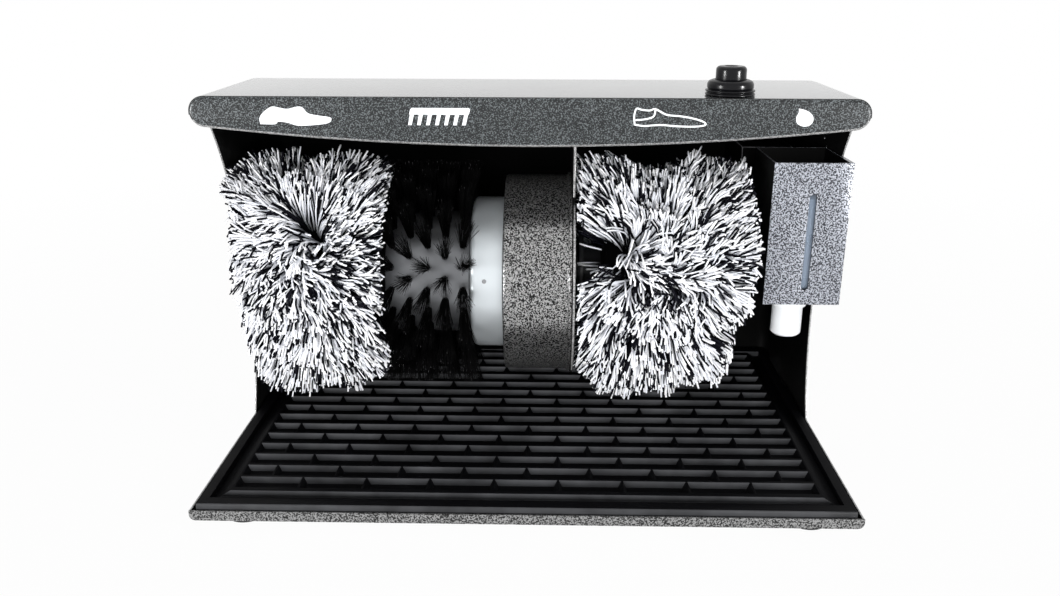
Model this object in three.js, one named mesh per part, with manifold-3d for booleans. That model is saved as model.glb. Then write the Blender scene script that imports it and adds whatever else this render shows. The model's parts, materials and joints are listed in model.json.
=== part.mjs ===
// Electric shoe cleaning machine: a sheet steel hood on a tray with a ribbed rubber mat,
// a motor in a drum housing that turns two yarn mops and a bristle brush on one shaft,
// a push switch on the roof and a dispenser whose nozzle is pressed up with the shoe.
// Millimetres, +X to the viewer's right, +Y to the rear, +Z up, standing on Z = 0.
import * as THREE from 'three';
import { mergeVertices } from 'three/addons/utils/BufferGeometryUtils.js';
import Module from 'manifold-3d';

const wasm = await Module();
wasm.setup();

// Overall sizes
const width = 400;
const depth = 270;
const roofHeight = 248;
const sheet = 1.2;
const seatGap = 0.3;
const cutOverrun = 1;
const weldTolerance = 1e-4;

// Feet
const footHeight = 7;
const footRadius = 13;
const footTipRadius = 11.5;
const footEdge = 1.2;
const footRecessRadius = 5;
const footRecessDepth = 3;
const footInsetX = 28;
const footInsetY = 22;

// Tray
const lipHeight = 6.3;
const lipCornerRadius = 4;
const trayRise = 6;
const trayFloorTop = footHeight + sheet;
const lipTop = footHeight + lipHeight;

// Hood: roof, rolled side edges, curved rear and front fascia
const edgeRadius = 9.2;
const skirtDepth = 11;
const rearRadius = 98;
const rearArcSteps = 12;
const edgeArcSteps = 4;
const hoodLength = 200;
const fasciaFront = depth - hoodLength;
const fasciaThickness = 2.4;
const fasciaBevel = 0.9;
const fasciaDrop = 29;
const fasciaLowest = roofHeight - fasciaDrop;
const roofUnderside = roofHeight - sheet;
const roofFlatEnd = depth - rearRadius;
const rearInside = depth - sheet;

// Side panels: the hollowed front edge as shares of the hood's length and height
const panelGap = 0.3;
const sideFrontShares = [
  [0.122, 0.954],
  [0.17, 0.902],
  [0.233, 0.82],
  [0.305, 0.69],
  [0.363, 0.52],
  [0.386, 0.385],
  [0.376, 0.25],
  [0.349, 0.135],
  [0.311, 0.0535],
];
const sideFrontSteps = 20;
const stripRampLength = 7;

// Rubber mat
const matSideClear = 2.4;
const matFront = 3;
const matRearClear = 7;
const matThickness = 8;
const matBottom = trayFloorTop + seatGap;
const matTop = matBottom + matThickness;
const matHalfWidth = width / 2 - sheet - matSideClear;
const matRear = rearInside - matRearClear;
const matEdge = 0.8;
const matBorder = 20;
const matFieldSide = width / 2 - matBorder;
const matFieldFront = 22;
const ribPitch = 15;
const cellLength = 40;
const ribTop = 2.2;
const bridgeTop = 1.2;
const pocketDepth = 4;
const pocketSlope = 0.8;
const bridgeSlope = 2;
const grooveSideBorder = 5.9;
const grooveEndBorder = 7.8;
const grooveFloorWidth = 3.5;
const grooveSideSlope = 6.4;
const fieldRim = 3;

// Shaft line and motor
const mopRoofClear = 43;
const mopMatClear = 20.5;
const rightMopRadius = (roofHeight - mopRoofClear - matTop - mopMatClear) / 2;
const mopDifference = 2;
const mopRadius = rightMopRadius - mopDifference;
const shaftBehindFascia = 70;
const shaftY = fasciaFront + shaftBehindFascia;
const shaftZ = roofHeight - mopRoofClear - rightMopRadius;
const shaftRadius = 6;
const threadRadius = 4;
const plateFace = 28.2;
const plateThickness = 1.5;
const plateRadius = 70;
const plateHole = 20;
const neckSetback = 9;
const bracketLeft = -70;
const bracketFasciaClear = 26;
const bracketBendClear = 4;
const bracketFront = fasciaFront + bracketFasciaClear;
const bracketRear = roofFlatEnd - bracketBendClear;
const coverRadius = 67;
const coverLength = 44;
const coverOpening = 49;
const coverBead = 1.6;
const coverBeadWidth = 2.4;
const shroudRadius = 51.6;
const shroudLeft = -38;
const shroudWall = 2;
const shroudRim = 3;
const shroudBore = 12;
const bellRadius = 61;
const bellThickness = 3;
const bellHubRadius = 19;
const bearingRadius = 14;
const bearingWidth = 8;
const bearingRace = 2.4;
const statorOuter = 60;
const statorInner = 33.6;
const statorLength = 22;
const windingOuter = 52;
const windingInner = 36;
const windingOverhang = 5;
const rotorRadius = 33;
const runClear = 0.3;
const shaftFit = 0.2;

// Brushes on the shaft
const mopEdgeRadius = 16;
const mopHollowRadius = 34;
const mopHollowDepth = 14;
const mopCoreRadius = 26;
const mopCoreWaist = 17;
const mopCoreFlange = 3;
const mopSideClear = 11;
const mopBoxClear = 8;
const mopPlateClear = 2.3;
const brushWidth = 55;
const brushEndClear = 0.8;
const mopBrushClear = 0.7;
const brushRight = shroudLeft - brushEndClear;
const brushLeft = brushRight - brushWidth;
const leftMopLeft = mopSideClear - width / 2;
const leftMopRight = brushLeft - mopBrushClear;
const boxWidth = 49;
const boxLeft = width / 2 - boxWidth;
const rightMopLeft = plateFace + plateThickness + mopPlateClear;
const rightMopRight = boxLeft - mopBoxClear;
const leftEndInset = 6;
const rightEndInset = 5;
const shaftLeft = leftMopLeft + leftEndInset;
const shaftRight = rightMopRight - rightEndInset;
const brushCoreRadius = 40;
const brushCoreWall = 4;
const brushHubRadius = 15;
const brushWeb = 5;
const bristleBacking = 1.6;
const bristleShort = 7;
const bristleTipRadius = rightMopRadius - bristleShort;
const bristleRowCount = 5;
const tuftsPerRow = 18;
const strandsPerTuft = 4;
const bristleRadius = 1.15;
const bristleTipHalf = 0.55;
const bristleSides = 3;
const bristleEndInset = 4.2;
const tuftRootSpread = 1.8;
const tuftSplayShare = 0.05;
const tuftTurnShare = 0.29;
const bristleLeanShare = 0.114;
const sleeveRadius = 10;
const washerRadius = 14;
const washerThickness = 1.6;
const nutAcross = 13;
const nutThickness = 6;

// Push switch on the roof
const switchInset = 80;
const switchSetback = 18;
const switchX = width / 2 - switchInset;
const switchY = fasciaFront + switchSetback;
const switchHole = 5;
const bootRadius = 14.7;
const bootFlange = 2;
const bootBulge = 13.4;
const bootWaist = 11.6;
const bootHeight = 9;
const bootBore = 9.4;
const bootFloor = 2.2;
const buttonRadius = 9;
const buttonTop = 17;
const buttonTravel = 4;
const buttonStemRadius = 2.6;
const buttonDish = 1.4;
const buttonDishRadius = 4;
const switchBodyRadius = 11;
const switchBodyLength = 24;
const switchNutAcross = 17;
const switchNutThickness = 3;
const switchBore = 3.2;
const plungerTravelRoom = 1.5;

// Control box behind the right mop
const controlWidth = 48;
const controlDepth = 74;
const controlDrop = 49;
const controlHeight = 77;
const controlLeft = width / 2 - controlWidth;
const controlFront = depth - controlDepth;
const controlTop = roofHeight - controlDrop;
const controlBottom = controlTop - controlHeight;
const controlWall = 1.5;
const controlFoot = 8;

// Cable grommet in the rear wall
const grommetInset = 50;
const grommetX = width / 2 - grommetInset;
const grommetZ = 32;
const grommetHole = 7;
const grommetFlange = 10;
const grommetBore = 4;
const grommetProud = 2;

// Polish dispenser
const boxSetback = 21;
const boxFront = fasciaFront + boxSetback;
const boxDepth = 57;
const boxDrop = 41;
const boxHeight = 92;
const boxTop = roofHeight - boxDrop;
const boxBottom = boxTop - boxHeight;
const slotInset = 23.3;
const slotX = width / 2 - slotInset;
const slotWidth = 4.4;
const slotAboveFloor = 10;
const slotLength = 62;
const slotBottom = boxBottom + slotAboveFloor;
const slotTop = slotBottom + slotLength;
const bottleInset = 26;
const bottleX = width / 2 - bottleInset;
const bottleY = boxFront + bottleInset;
const bottleRadius = 20.5;
const bottleWall = 1.5;
const bottleNeck = 7.8;
const bottleShoulder = 6;
const bottleHeight = 72;
const fillerRadius = 12;
const fillerHeight = 8;
const capRadius = 13.6;
const capHeight = 10;
const capWall = 1.4;
const collarRadius = 12;
const collarHeight = 7.7;
const collarWall = 1.2;
const collarLip = 1;
const neckInCollar = 3.5;
const nozzleRadius = 10;
const nozzleReach = 29;
const nozzleBottom = boxBottom - nozzleReach;
const nozzleWall = 1.6;
const nozzleFloor = 3;
const nozzleEdge = 1.6;
const nozzleOutlet = 2;
const nozzleTravel = 3.5;
const nozzleFlange = 1.2;
const nozzleFlangeProud = 0.6;
const valveStemRadius = 2.4;
const valveStemRise = 2;
const valveStemTop = boxBottom + valveStemRise;
const springRadius = 6.6;
const springWire = 0.5;
const springTurns = 5;
const springWireSides = 4;
const springStepsPerTurn = 8;
const springSeatGap = 0.4;

// Roundness
const drumSegments = 40;
const roundSegments = 24;
const smallSegments = 20;
const tinySegments = 16;
const curveSegments = 8;
const shoulderSteps = 3;
const rimSteps = 2;

// Materials
function paint(color, roughness, metalness) {
  return new THREE.MeshStandardMaterial({ color, roughness, metalness });
}
const hammeredPaint = paint(0x4b5052, 0.35, 0.3);
const blackPaint = paint(0x0c0c0d, 0.4, 0.1);
const steel = paint(0xb0b2b5, 0.35, 0.9);
const castAlloy = paint(0x9a9c9e, 0.5, 0.8);
const copper = paint(0x9c5a2c, 0.4, 0.9);
const blackRubber = paint(0x141414, 0.75, 0);
const blackPlastic = paint(0x17181a, 0.45, 0);
const whitePlastic = paint(0xf2f3f4, 0.25, 0);
const clearPlastic = paint(0xbfd2e6, 0.15, 0);
const yarn = paint(0xd9d9d6, 0.95, 0);
const bristle = paint(0x101012, 0.6, 0);

// Solids from closed geometry, and back
function solidOf(geometry) {
  const bare = geometry.clone();
  bare.deleteAttribute('normal');
  bare.deleteAttribute('uv');
  const merged = mergeVertices(bare, weldTolerance);
  const vertProperties = Float32Array.from(merged.attributes.position.array);
  const triVerts = Uint32Array.from(merged.index.array);
  return new wasm.Manifold(new wasm.Mesh({ numProp: 3, vertProperties, triVerts }));
}

function geometryOf(solid) {
  const mesh = solid.getMesh();
  const geometry = new THREE.BufferGeometry();
  geometry.setAttribute('position', new THREE.BufferAttribute(mesh.vertProperties, 3));
  geometry.setIndex(new THREE.BufferAttribute(mesh.triVerts, 1));
  geometry.computeVertexNormals();
  return geometry;
}

function joined(first, ...others) {
  return others.reduce((sum, other) => sum.add(other), first);
}

function cutFrom(first, ...others) {
  return others.reduce((rest, other) => rest.subtract(other), first);
}

// A box between two corners
function block(x0, x1, y0, y1, z0, z1) {
  const geometry = new THREE.BoxGeometry(x1 - x0, y1 - y0, z1 - z0);
  geometry.translate((x0 + x1) / 2, (y0 + y1) / 2, (z0 + z1) / 2);
  return solidOf(geometry);
}

// A shape drawn in Y and Z, thickened along X
function plateAcrossX(shape, x0, x1) {
  const geometry = new THREE.ExtrudeGeometry(shape, {
    depth: x1 - x0,
    bevelEnabled: false,
    curveSegments,
  });
  const axes = new THREE.Matrix4().makeBasis(
    new THREE.Vector3(0, 1, 0),
    new THREE.Vector3(0, 0, 1),
    new THREE.Vector3(1, 0, 0),
  );
  geometry.applyMatrix4(axes);
  geometry.translate(x0, 0, 0);
  return solidOf(geometry);
}

// A shape drawn in X and Z, thickened along Y, with rounded edges where a bevel is given
function plateAcrossY(shape, y0, y1, bevel = 0) {
  const geometry = new THREE.ExtrudeGeometry(shape, {
    depth: y1 - y0 - 2 * bevel,
    bevelEnabled: bevel > 0,
    bevelThickness: bevel,
    bevelSize: bevel,
    bevelOffset: -bevel,
    bevelSegments: 1,
    curveSegments,
  });
  geometry.rotateX(Math.PI / 2);
  geometry.translate(0, y1 - bevel, 0);
  return solidOf(geometry);
}

// A shape drawn in X and Y, thickened along Z
function plateAcrossZ(shape, z0, z1) {
  const geometry = new THREE.ExtrudeGeometry(shape, {
    depth: z1 - z0,
    bevelEnabled: false,
    curveSegments,
  });
  return solidOf(geometry).translate([0, 0, z0]);
}

// A closed profile of [radius, height] pairs turned about the Z axis
function turned(profile, segments = roundSegments) {
  let twiceArea = 0;
  profile.forEach(([r, h], i) => {
    const [nextR, nextH] = profile[(i + 1) % profile.length];
    twiceArea += r * nextH - nextR * h;
  });
  const ordered = twiceArea > 0 ? [...profile] : [...profile].reverse();
  const onAxis = ordered.findIndex(([r], i) => {
    const [previousR] = ordered[(i + ordered.length - 1) % ordered.length];
    return r === 0 && previousR === 0;
  });
  const start = Math.max(onAxis, 0);
  const points = ordered.map((_, i) => ordered[(start + i) % ordered.length]);
  if (onAxis < 0) points.push(points[0]);
  const geometry = new THREE.LatheGeometry(
    points.map(([r, h]) => new THREE.Vector2(r, h)),
    segments,
  );
  geometry.rotateX(Math.PI / 2);
  return solidOf(geometry);
}

function turnedOnZ(profile, x, y, segments = roundSegments) {
  return turned(profile, segments).translate([x, y, 0]);
}

// The same profile turned about the shaft line, its heights measured along X
function turnedOnShaft(profile, segments = roundSegments) {
  return turned(profile, segments).rotate([0, 90, 0]).translate([0, shaftY, shaftZ]);
}

function discOnShaft(radius, x0, x1, segments = roundSegments) {
  return turnedOnShaft([[0, x0], [radius, x0], [radius, x1], [0, x1]], segments);
}

// The rounded quarter between two directions of a profile corner
function cornerArc(r, h, radius, from, to, steps) {
  const points = [];
  for (let i = 0; i <= steps; i += 1) {
    const angle = from + ((to - from) * i) / steps;
    points.push([r + radius * Math.cos(angle), h + radius * Math.sin(angle)]);
  }
  return points;
}

// A solid from corner points and triangles, turned the right way out
function solidFrom(points, index) {
  const corners = points.map(([x, y, z]) => new THREE.Vector3(x, y, z));
  const cross = new THREE.Vector3();
  let sixVolumes = 0;
  for (let i = 0; i < index.length; i += 3) {
    const [a, b, c] = index.slice(i, i + 3).map((k) => corners[k]);
    sixVolumes += cross.crossVectors(b, c).dot(a);
  }
  if (sixVolumes < 0) index.reverse();
  const geometry = new THREE.BufferGeometry().setFromPoints(corners);
  geometry.setIndex(index);
  return solidOf(geometry);
}

// A closed solid through rings of equally many points, with flat ends
function loft(rings, endOutline) {
  const count = rings[0].length;
  const index = [];
  for (let i = 0; i + 1 < rings.length; i += 1) {
    for (let k = 0; k < count; k += 1) {
      const next = (k + 1) % count;
      const a = i * count + k;
      const b = i * count + next;
      index.push(a, b, b + count, a, b + count, a + count);
    }
  }
  const outline = endOutline.map(([u, v]) => new THREE.Vector2(u, v));
  const last = (rings.length - 1) * count;
  const reversed = THREE.ShapeUtils.isClockWise(outline);
  for (const [a, p, q] of THREE.ShapeUtils.triangulateShape(outline, [])) {
    const [b, c] = reversed ? [q, p] : [p, q];
    index.push(a, c, b, last + a, last + b, last + c);
  }
  return solidFrom(rings.flat(), index);
}

function hexagon(across, hole) {
  const shape = new THREE.Shape();
  const radius = across / Math.sqrt(3);
  for (let i = 0; i < 6; i += 1) {
    const angle = (i * Math.PI) / 3;
    const x = radius * Math.cos(angle);
    const y = radius * Math.sin(angle);
    if (i === 0) shape.moveTo(x, y);
    else shape.lineTo(x, y);
  }
  const opening = new THREE.Path();
  opening.absarc(0, 0, hole, 0, 2 * Math.PI, true);
  shape.holes.push(opening);
  return shape;
}

// A coil spring about the Z axis, as one unbroken tube
function coil(x, y, radius, z0, z1) {
  class Helix extends THREE.Curve {
    getPoint(t, target = new THREE.Vector3()) {
      const angle = 2 * Math.PI * springTurns * t;
      return target.set(radius * Math.cos(angle), radius * Math.sin(angle), z0 + (z1 - z0) * t);
    }
  }
  const section = new THREE.Shape();
  for (let i = 0; i < springWireSides; i += 1) {
    const angle = (2 * Math.PI * i) / springWireSides;
    const u = springWire * Math.cos(angle);
    const v = springWire * Math.sin(angle);
    if (i === 0) section.moveTo(u, v);
    else section.lineTo(u, v);
  }
  const geometry = new THREE.ExtrudeGeometry(section, {
    extrudePath: new Helix(),
    steps: springTurns * springStepsPerTurn,
    bevelEnabled: false,
  });
  return solidOf(geometry).translate([x, y, 0]);
}

const machine = new THREE.Group();

function place(name, solid, material) {
  const mesh = new THREE.Mesh(geometryOf(solid), material);
  mesh.name = name;
  machine.add(mesh);
}

// Feet: rubber buttons under the tray's corners, hollow below for the screw head
function foot() {
  const top = footHeight - seatGap;
  return turned([
    [0, footRecessDepth],
    [footRecessRadius, footRecessDepth],
    [footRecessRadius, 0],
    [footTipRadius - footEdge, 0],
    [footTipRadius, footEdge],
    [footRadius, top - footEdge],
    [footRadius, top],
    [0, top],
  ], tinySegments);
}

function addFeet() {
  const places = {
    foot_front_left: [-1, footInsetY],
    foot_front_right: [1, footInsetY],
    foot_rear_left: [-1, depth - footInsetY],
    foot_rear_right: [1, depth - footInsetY],
  };
  for (const [name, [side, y]] of Object.entries(places)) {
    place(name, foot().translate([side * (width / 2 - footInsetX), y, 0]), blackRubber);
  }
}

// Tray: the floor with its front lip, rounded at the lower corners
function tray() {
  const half = width / 2;
  const lip = new THREE.Shape();
  lip.moveTo(-half, lipTop);
  lip.lineTo(-half, footHeight + lipCornerRadius);
  lip.absarc(
    -half + lipCornerRadius, footHeight + lipCornerRadius, lipCornerRadius,
    Math.PI, 1.5 * Math.PI, false,
  );
  lip.absarc(
    half - lipCornerRadius, footHeight + lipCornerRadius, lipCornerRadius,
    1.5 * Math.PI, 2 * Math.PI, false,
  );
  lip.lineTo(half, lipTop);
  const floorHalf = half - sheet - seatGap;
  const floorRear = rearInside - seatGap;
  const corner = edgeRadius - sheet - seatGap;
  const straight = floorHalf - corner;
  const floor = new THREE.Shape();
  floor.moveTo(-floorHalf, sheet / 2);
  floor.lineTo(floorHalf, sheet / 2);
  floor.lineTo(floorHalf, floorRear - corner);
  floor.absarc(straight, floorRear - corner, corner, 0, Math.PI / 2, false);
  floor.lineTo(-straight, floorRear);
  floor.absarc(-straight, floorRear - corner, corner, Math.PI / 2, Math.PI, false);
  return joined(
    plateAcrossY(lip, 0, sheet),
    plateAcrossZ(floor, footHeight, trayFloorTop),
    block(-straight, straight, floorRear - sheet, floorRear, footHeight, trayFloorTop + trayRise),
  );
}

// A four-sided block with evenly sloped sides, from its corners at each share of its height
function tapered(corners, bottom, height, from, to) {
  const at = (share) => corners(share).map(([x, y]) => [x, y, bottom + share * height]);
  return loft([at(from), at(to)], corners(1));
}

// Mat: a slab with a brick pattern of tapered pockets, so that ribs run across and short
// bridges tie them together, and a groove round the field, sloped towards it at the sides
function pocket(x0, x1, y0, y1) {
  const half = { bridge: bridgeTop / 2, rib: ribTop / 2 };
  const corners = (rise) => {
    const near = y0 + half.rib + pocketSlope * (1 - rise);
    const far = y1 - half.rib - pocketSlope * (1 - rise);
    const left = x0 + half.bridge + bridgeSlope * (1 - rise);
    const right = x1 - half.bridge - bridgeSlope * (1 - rise);
    return [[left, near], [right, near], [right, far], [left, far]];
  };
  return tapered(corners, matTop - pocketDepth, pocketDepth, 0, 1 + cutOverrun / pocketDepth);
}

function groove(fieldRear) {
  const floor = matTop - pocketDepth;
  const over = cutOverrun / pocketDepth;
  const corners = (rise) => {
    const side = matFieldSide + bridgeTop / 2 + grooveSideSlope * (1 - rise);
    const near = matFieldFront - fieldRim - pocketSlope * (1 - rise);
    const far = fieldRear + fieldRim + pocketSlope * (1 - rise);
    return [[-side, near], [side, near], [side, far], [-side, far]];
  };
  const side = matHalfWidth - grooveSideBorder;
  const front = matFront + grooveEndBorder;
  const rear = matRear - grooveEndBorder;
  return cutFrom(
    block(-side, side, front, rear, floor, matTop + cutOverrun),
    tapered(corners, floor, pocketDepth, -over, 1 + over),
  );
}

function mat() {
  const profile = new THREE.Shape();
  profile.moveTo(matFront, matBottom);
  profile.lineTo(matRear, matBottom);
  profile.lineTo(matRear, matTop);
  profile.lineTo(matFront + matEdge, matTop);
  profile.lineTo(matFront, matTop - matEdge);
  let body = plateAcrossX(profile, -matHalfWidth, matHalfWidth);
  const room = matRear - grooveEndBorder - grooveFloorWidth - matFieldFront;
  const rows = Math.floor(room / ribPitch);
  for (let row = 0; row < rows; row += 1) {
    const y0 = matFieldFront + row * ribPitch;
    const shift = row % 2 === 0 ? 0 : -cellLength / 2;
    for (let x = -matFieldSide + shift; x < matFieldSide; x += cellLength) {
      const x0 = Math.max(x, -matFieldSide);
      const x1 = Math.min(x + cellLength, matFieldSide);
      body = body.subtract(pocket(x0, x1, y0, y0 + ribPitch));
    }
  }
  return body.subtract(groove(matFieldFront + rows * ribPitch));
}

// Hood: one sheet bent over the roof and down the rear, its side edges rolled under,
// closed in front by the fascia with an arched lower edge
function hoodSection() {
  const half = width / 2;
  const side = (radius, from, to) => cornerArc(
    half - edgeRadius, edgeRadius, radius, from, to, edgeArcSteps,
  );
  const outer = side(edgeRadius, 0, -Math.PI / 2);
  const inner = side(edgeRadius - sheet, -Math.PI / 2, 0);
  const rightHalf = [[half, skirtDepth], ...outer];
  const leftHalf = [...rightHalf].reverse().map(([x, d]) => [-x, d]);
  const rightInner = [...inner, [half - sheet, skirtDepth]];
  const leftInner = [...rightInner].reverse().map(([x, d]) => [-x, d]);
  return [...rightHalf, ...leftHalf, ...leftInner, ...rightInner];
}

function hoodStations() {
  const stations = [{ y: fasciaFront + fasciaThickness / 2, z: roofHeight, angle: Math.PI / 2 }];
  for (let i = 0; i <= rearArcSteps; i += 1) {
    const angle = (Math.PI / 2) * (1 - i / rearArcSteps);
    stations.push({
      y: roofFlatEnd + rearRadius * Math.cos(angle),
      z: roofHeight - rearRadius + rearRadius * Math.sin(angle),
      angle,
    });
  }
  stations.push({ y: depth, z: footHeight, angle: 0 });
  return stations;
}

function fascia() {
  const corner = width / 2 - edgeRadius;
  const axis = roofHeight - edgeRadius;
  const rise = axis - edgeRadius - fasciaLowest;
  const archRadius = (corner * corner + rise * rise) / (2 * rise);
  const lean = Math.asin(corner / (archRadius + edgeRadius));
  const shape = new THREE.Shape();
  shape.moveTo(-corner, roofHeight);
  shape.absarc(-corner, axis, edgeRadius, Math.PI / 2, 1.5 * Math.PI - lean, false);
  shape.absarc(
    0, fasciaLowest + archRadius, archRadius,
    1.5 * Math.PI - lean, 1.5 * Math.PI + lean, false,
  );
  shape.absarc(corner, axis, edgeRadius, -Math.PI / 2 + lean, Math.PI / 2, false);
  return plateAcrossY(shape, fasciaFront, fasciaFront + fasciaThickness, fasciaBevel);
}

function hood() {
  const section = hoodSection();
  const rings = hoodStations().map(({ y, z, angle }) => section.map(([x, d]) => [
    x,
    y - d * Math.cos(angle),
    z - d * Math.sin(angle),
  ]));
  const switchOpening = turnedOnZ([
    [0, roofUnderside - cutOverrun],
    [switchHole, roofUnderside - cutOverrun],
    [switchHole, roofHeight + cutOverrun],
    [0, roofHeight + cutOverrun],
  ], switchX, switchY, smallSegments);
  const cableOpening = turned([
    [0, 0],
    [grommetHole + seatGap, 0],
    [grommetHole + seatGap, sheet + 2 * cutOverrun],
    [0, sheet + 2 * cutOverrun],
  ], smallSegments).rotate([-90, 0, 0]).translate([grommetX, rearInside - cutOverrun, grommetZ]);
  const shell = loft(rings, section);
  return cutFrom(joined(shell, fascia()), switchOpening, cableOpening);
}

// Side panels: flush with the rolled edges, with a hollowed front edge that runs
// down into a low strip along the tray
function frontEdgePoints() {
  const points = sideFrontShares.map(([y, z]) => new THREE.Vector2(
    fasciaFront + y * hoodLength,
    z * roofHeight,
  ));
  return new THREE.SplineCurve(points).getPoints(sideFrontSteps);
}

function panelOutline() {
  const inset = skirtDepth + panelGap;
  const top = roofHeight - inset;
  const edge = frontEdgePoints().filter((point) => point.y < top - panelGap);
  const stripTop = edge[edge.length - 1].y;
  const stripFront = sheet + seatGap;
  const shape = new THREE.Shape();
  shape.moveTo(stripFront, footHeight);
  shape.lineTo(depth - inset, footHeight);
  shape.lineTo(depth - inset, roofHeight - rearRadius);
  shape.absarc(roofFlatEnd, roofHeight - rearRadius, rearRadius - inset, 0, Math.PI / 2, false);
  shape.lineTo(edge[0].x - (top - edge[0].y) / 2, top);
  for (const { x, y } of edge) shape.lineTo(x, y);
  shape.lineTo(stripFront + stripRampLength, stripTop);
  shape.lineTo(stripFront, lipTop);
  return shape;
}

function sidePanel(side) {
  const outer = (side * width) / 2;
  const inner = side * (width / 2 - sheet);
  return plateAcrossX(panelOutline(), Math.min(outer, inner), Math.max(outer, inner));
}

// Motor bracket: a round plate with a neck, bent over under the roof
function motorBracket() {
  const top = roofUnderside - seatGap;
  const right = plateFace + plateThickness;
  const neckFront = bracketFront + neckSetback;
  return cutFrom(
    joined(
      discOnShaft(plateRadius, plateFace, right, drumSegments),
      block(plateFace, right, neckFront, bracketRear, shaftZ, top),
      block(bracketLeft, right, bracketFront, bracketRear, top - plateThickness, top),
    ),
    discOnShaft(plateHole, plateFace - cutOverrun, right + cutOverrun),
  );
}

// Motor cover: an open drum over the stator, beaded at its rim against the plate
function motorCover() {
  const right = plateFace - seatGap;
  const left = right - coverLength;
  return turnedOnShaft([
    [coverOpening, left],
    [coverRadius - sheet, left],
    [coverRadius, left + sheet],
    [coverRadius, right - coverBeadWidth],
    [coverRadius + coverBead, right - coverBeadWidth],
    [coverRadius + coverBead, right],
    [coverRadius - sheet, right],
    [coverRadius - sheet, left + sheet],
    [coverOpening, left + sheet],
  ], drumSegments);
}

// Motor end shroud: a moulded white drum with a rounded outer rim, open to the motor
function endShroud() {
  const right = plateFace - seatGap - coverLength - seatGap;
  const rim = cornerArc(
    shroudRadius - shroudRim, shroudLeft + shroudRim, shroudRim, -Math.PI / 2, 0, rimSteps,
  );
  return turnedOnShaft([
    [shroudBore, shroudLeft],
    ...rim,
    [shroudRadius, right],
    [shroudRadius - shroudWall, right],
    [shroudRadius - shroudWall, shroudLeft + shroudRim],
    [shroudRadius - shroudWall - shroudRim / 2, shroudLeft + shroudWall],
    [shroudBore, shroudLeft + shroudWall],
  ], drumSegments);
}

// The motor's rows along X, from the bracket plate to the left
const rightBellRight = plateFace - seatGap;
const rightBellLeft = rightBellRight - bellThickness;
const statorRight = rightBellLeft - seatGap - windingOverhang;
const statorLeft = statorRight - statorLength;
const leftBellRight = statorLeft - seatGap - windingOverhang;

function endBell(face, outward) {
  const inside = face;
  const outside = face + outward * bellThickness;
  const hubEnd = face + outward * bearingWidth;
  const pocketRadius = bearingRadius + seatGap;
  return turnedOnShaft([
    [pocketRadius, inside],
    [bellRadius, inside],
    [bellRadius, outside],
    [bellHubRadius, outside],
    [bellHubRadius - bellThickness / 2, hubEnd],
    [pocketRadius, hubEnd],
  ]);
}

function bearing(x0) {
  const bore = shaftRadius + shaftFit;
  return turnedOnShaft([
    [bore, x0],
    [bore + bearingRace, x0],
    [bore + bearingRace, x0 + seatGap],
    [bearingRadius - bearingRace, x0 + seatGap],
    [bearingRadius - bearingRace, x0],
    [bearingRadius, x0],
    [bearingRadius, x0 + bearingWidth],
    [bore, x0 + bearingWidth],
  ], tinySegments);
}

function stator() {
  return turnedOnShaft([
    [statorInner, statorLeft],
    [windingInner, statorLeft],
    [windingInner, statorLeft - windingOverhang],
    [windingOuter, statorLeft - windingOverhang],
    [windingOuter, statorLeft],
    [statorOuter, statorLeft],
    [statorOuter, statorRight],
    [windingOuter, statorRight],
    [windingOuter, statorRight + windingOverhang],
    [windingInner, statorRight + windingOverhang],
    [windingInner, statorRight],
    [statorInner, statorRight],
  ], smallSegments);
}

function rotorCore() {
  const bore = shaftRadius + seatGap;
  return turnedOnShaft([
    [bore, statorLeft],
    [rotorRadius, statorLeft],
    [rotorRadius, statorRight],
    [bore, statorRight],
  ]);
}

// The shaft and what is clamped on it, from end to end
const leftNutLeft = shaftLeft + seatGap;
const leftWasherLeft = leftNutLeft + nutThickness + seatGap;
const leftCoreLeft = leftWasherLeft + washerThickness + seatGap;
const rightNutLeft = shaftRight - seatGap - nutThickness;
const rightWasherLeft = rightNutLeft - seatGap - washerThickness;
const rightCoreRight = rightWasherLeft - seatGap;

function shaft() {
  return turnedOnShaft([
    [0, shaftLeft],
    [threadRadius, shaftLeft],
    [threadRadius, leftCoreLeft - seatGap],
    [shaftRadius, leftCoreLeft],
    [shaftRadius, rightCoreRight],
    [threadRadius, rightCoreRight + seatGap],
    [threadRadius, shaftRight],
    [0, shaftRight],
  ], smallSegments);
}

function mopCore(x0, x1) {
  const bore = shaftRadius + seatGap;
  return turnedOnShaft([
    [bore, x0],
    [mopCoreRadius, x0],
    [mopCoreRadius, x0 + mopCoreFlange],
    [mopCoreWaist, x0 + mopCoreFlange],
    [mopCoreWaist, x1 - mopCoreFlange],
    [mopCoreRadius, x1 - mopCoreFlange],
    [mopCoreRadius, x1],
    [bore, x1],
  ], smallSegments);
}

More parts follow.
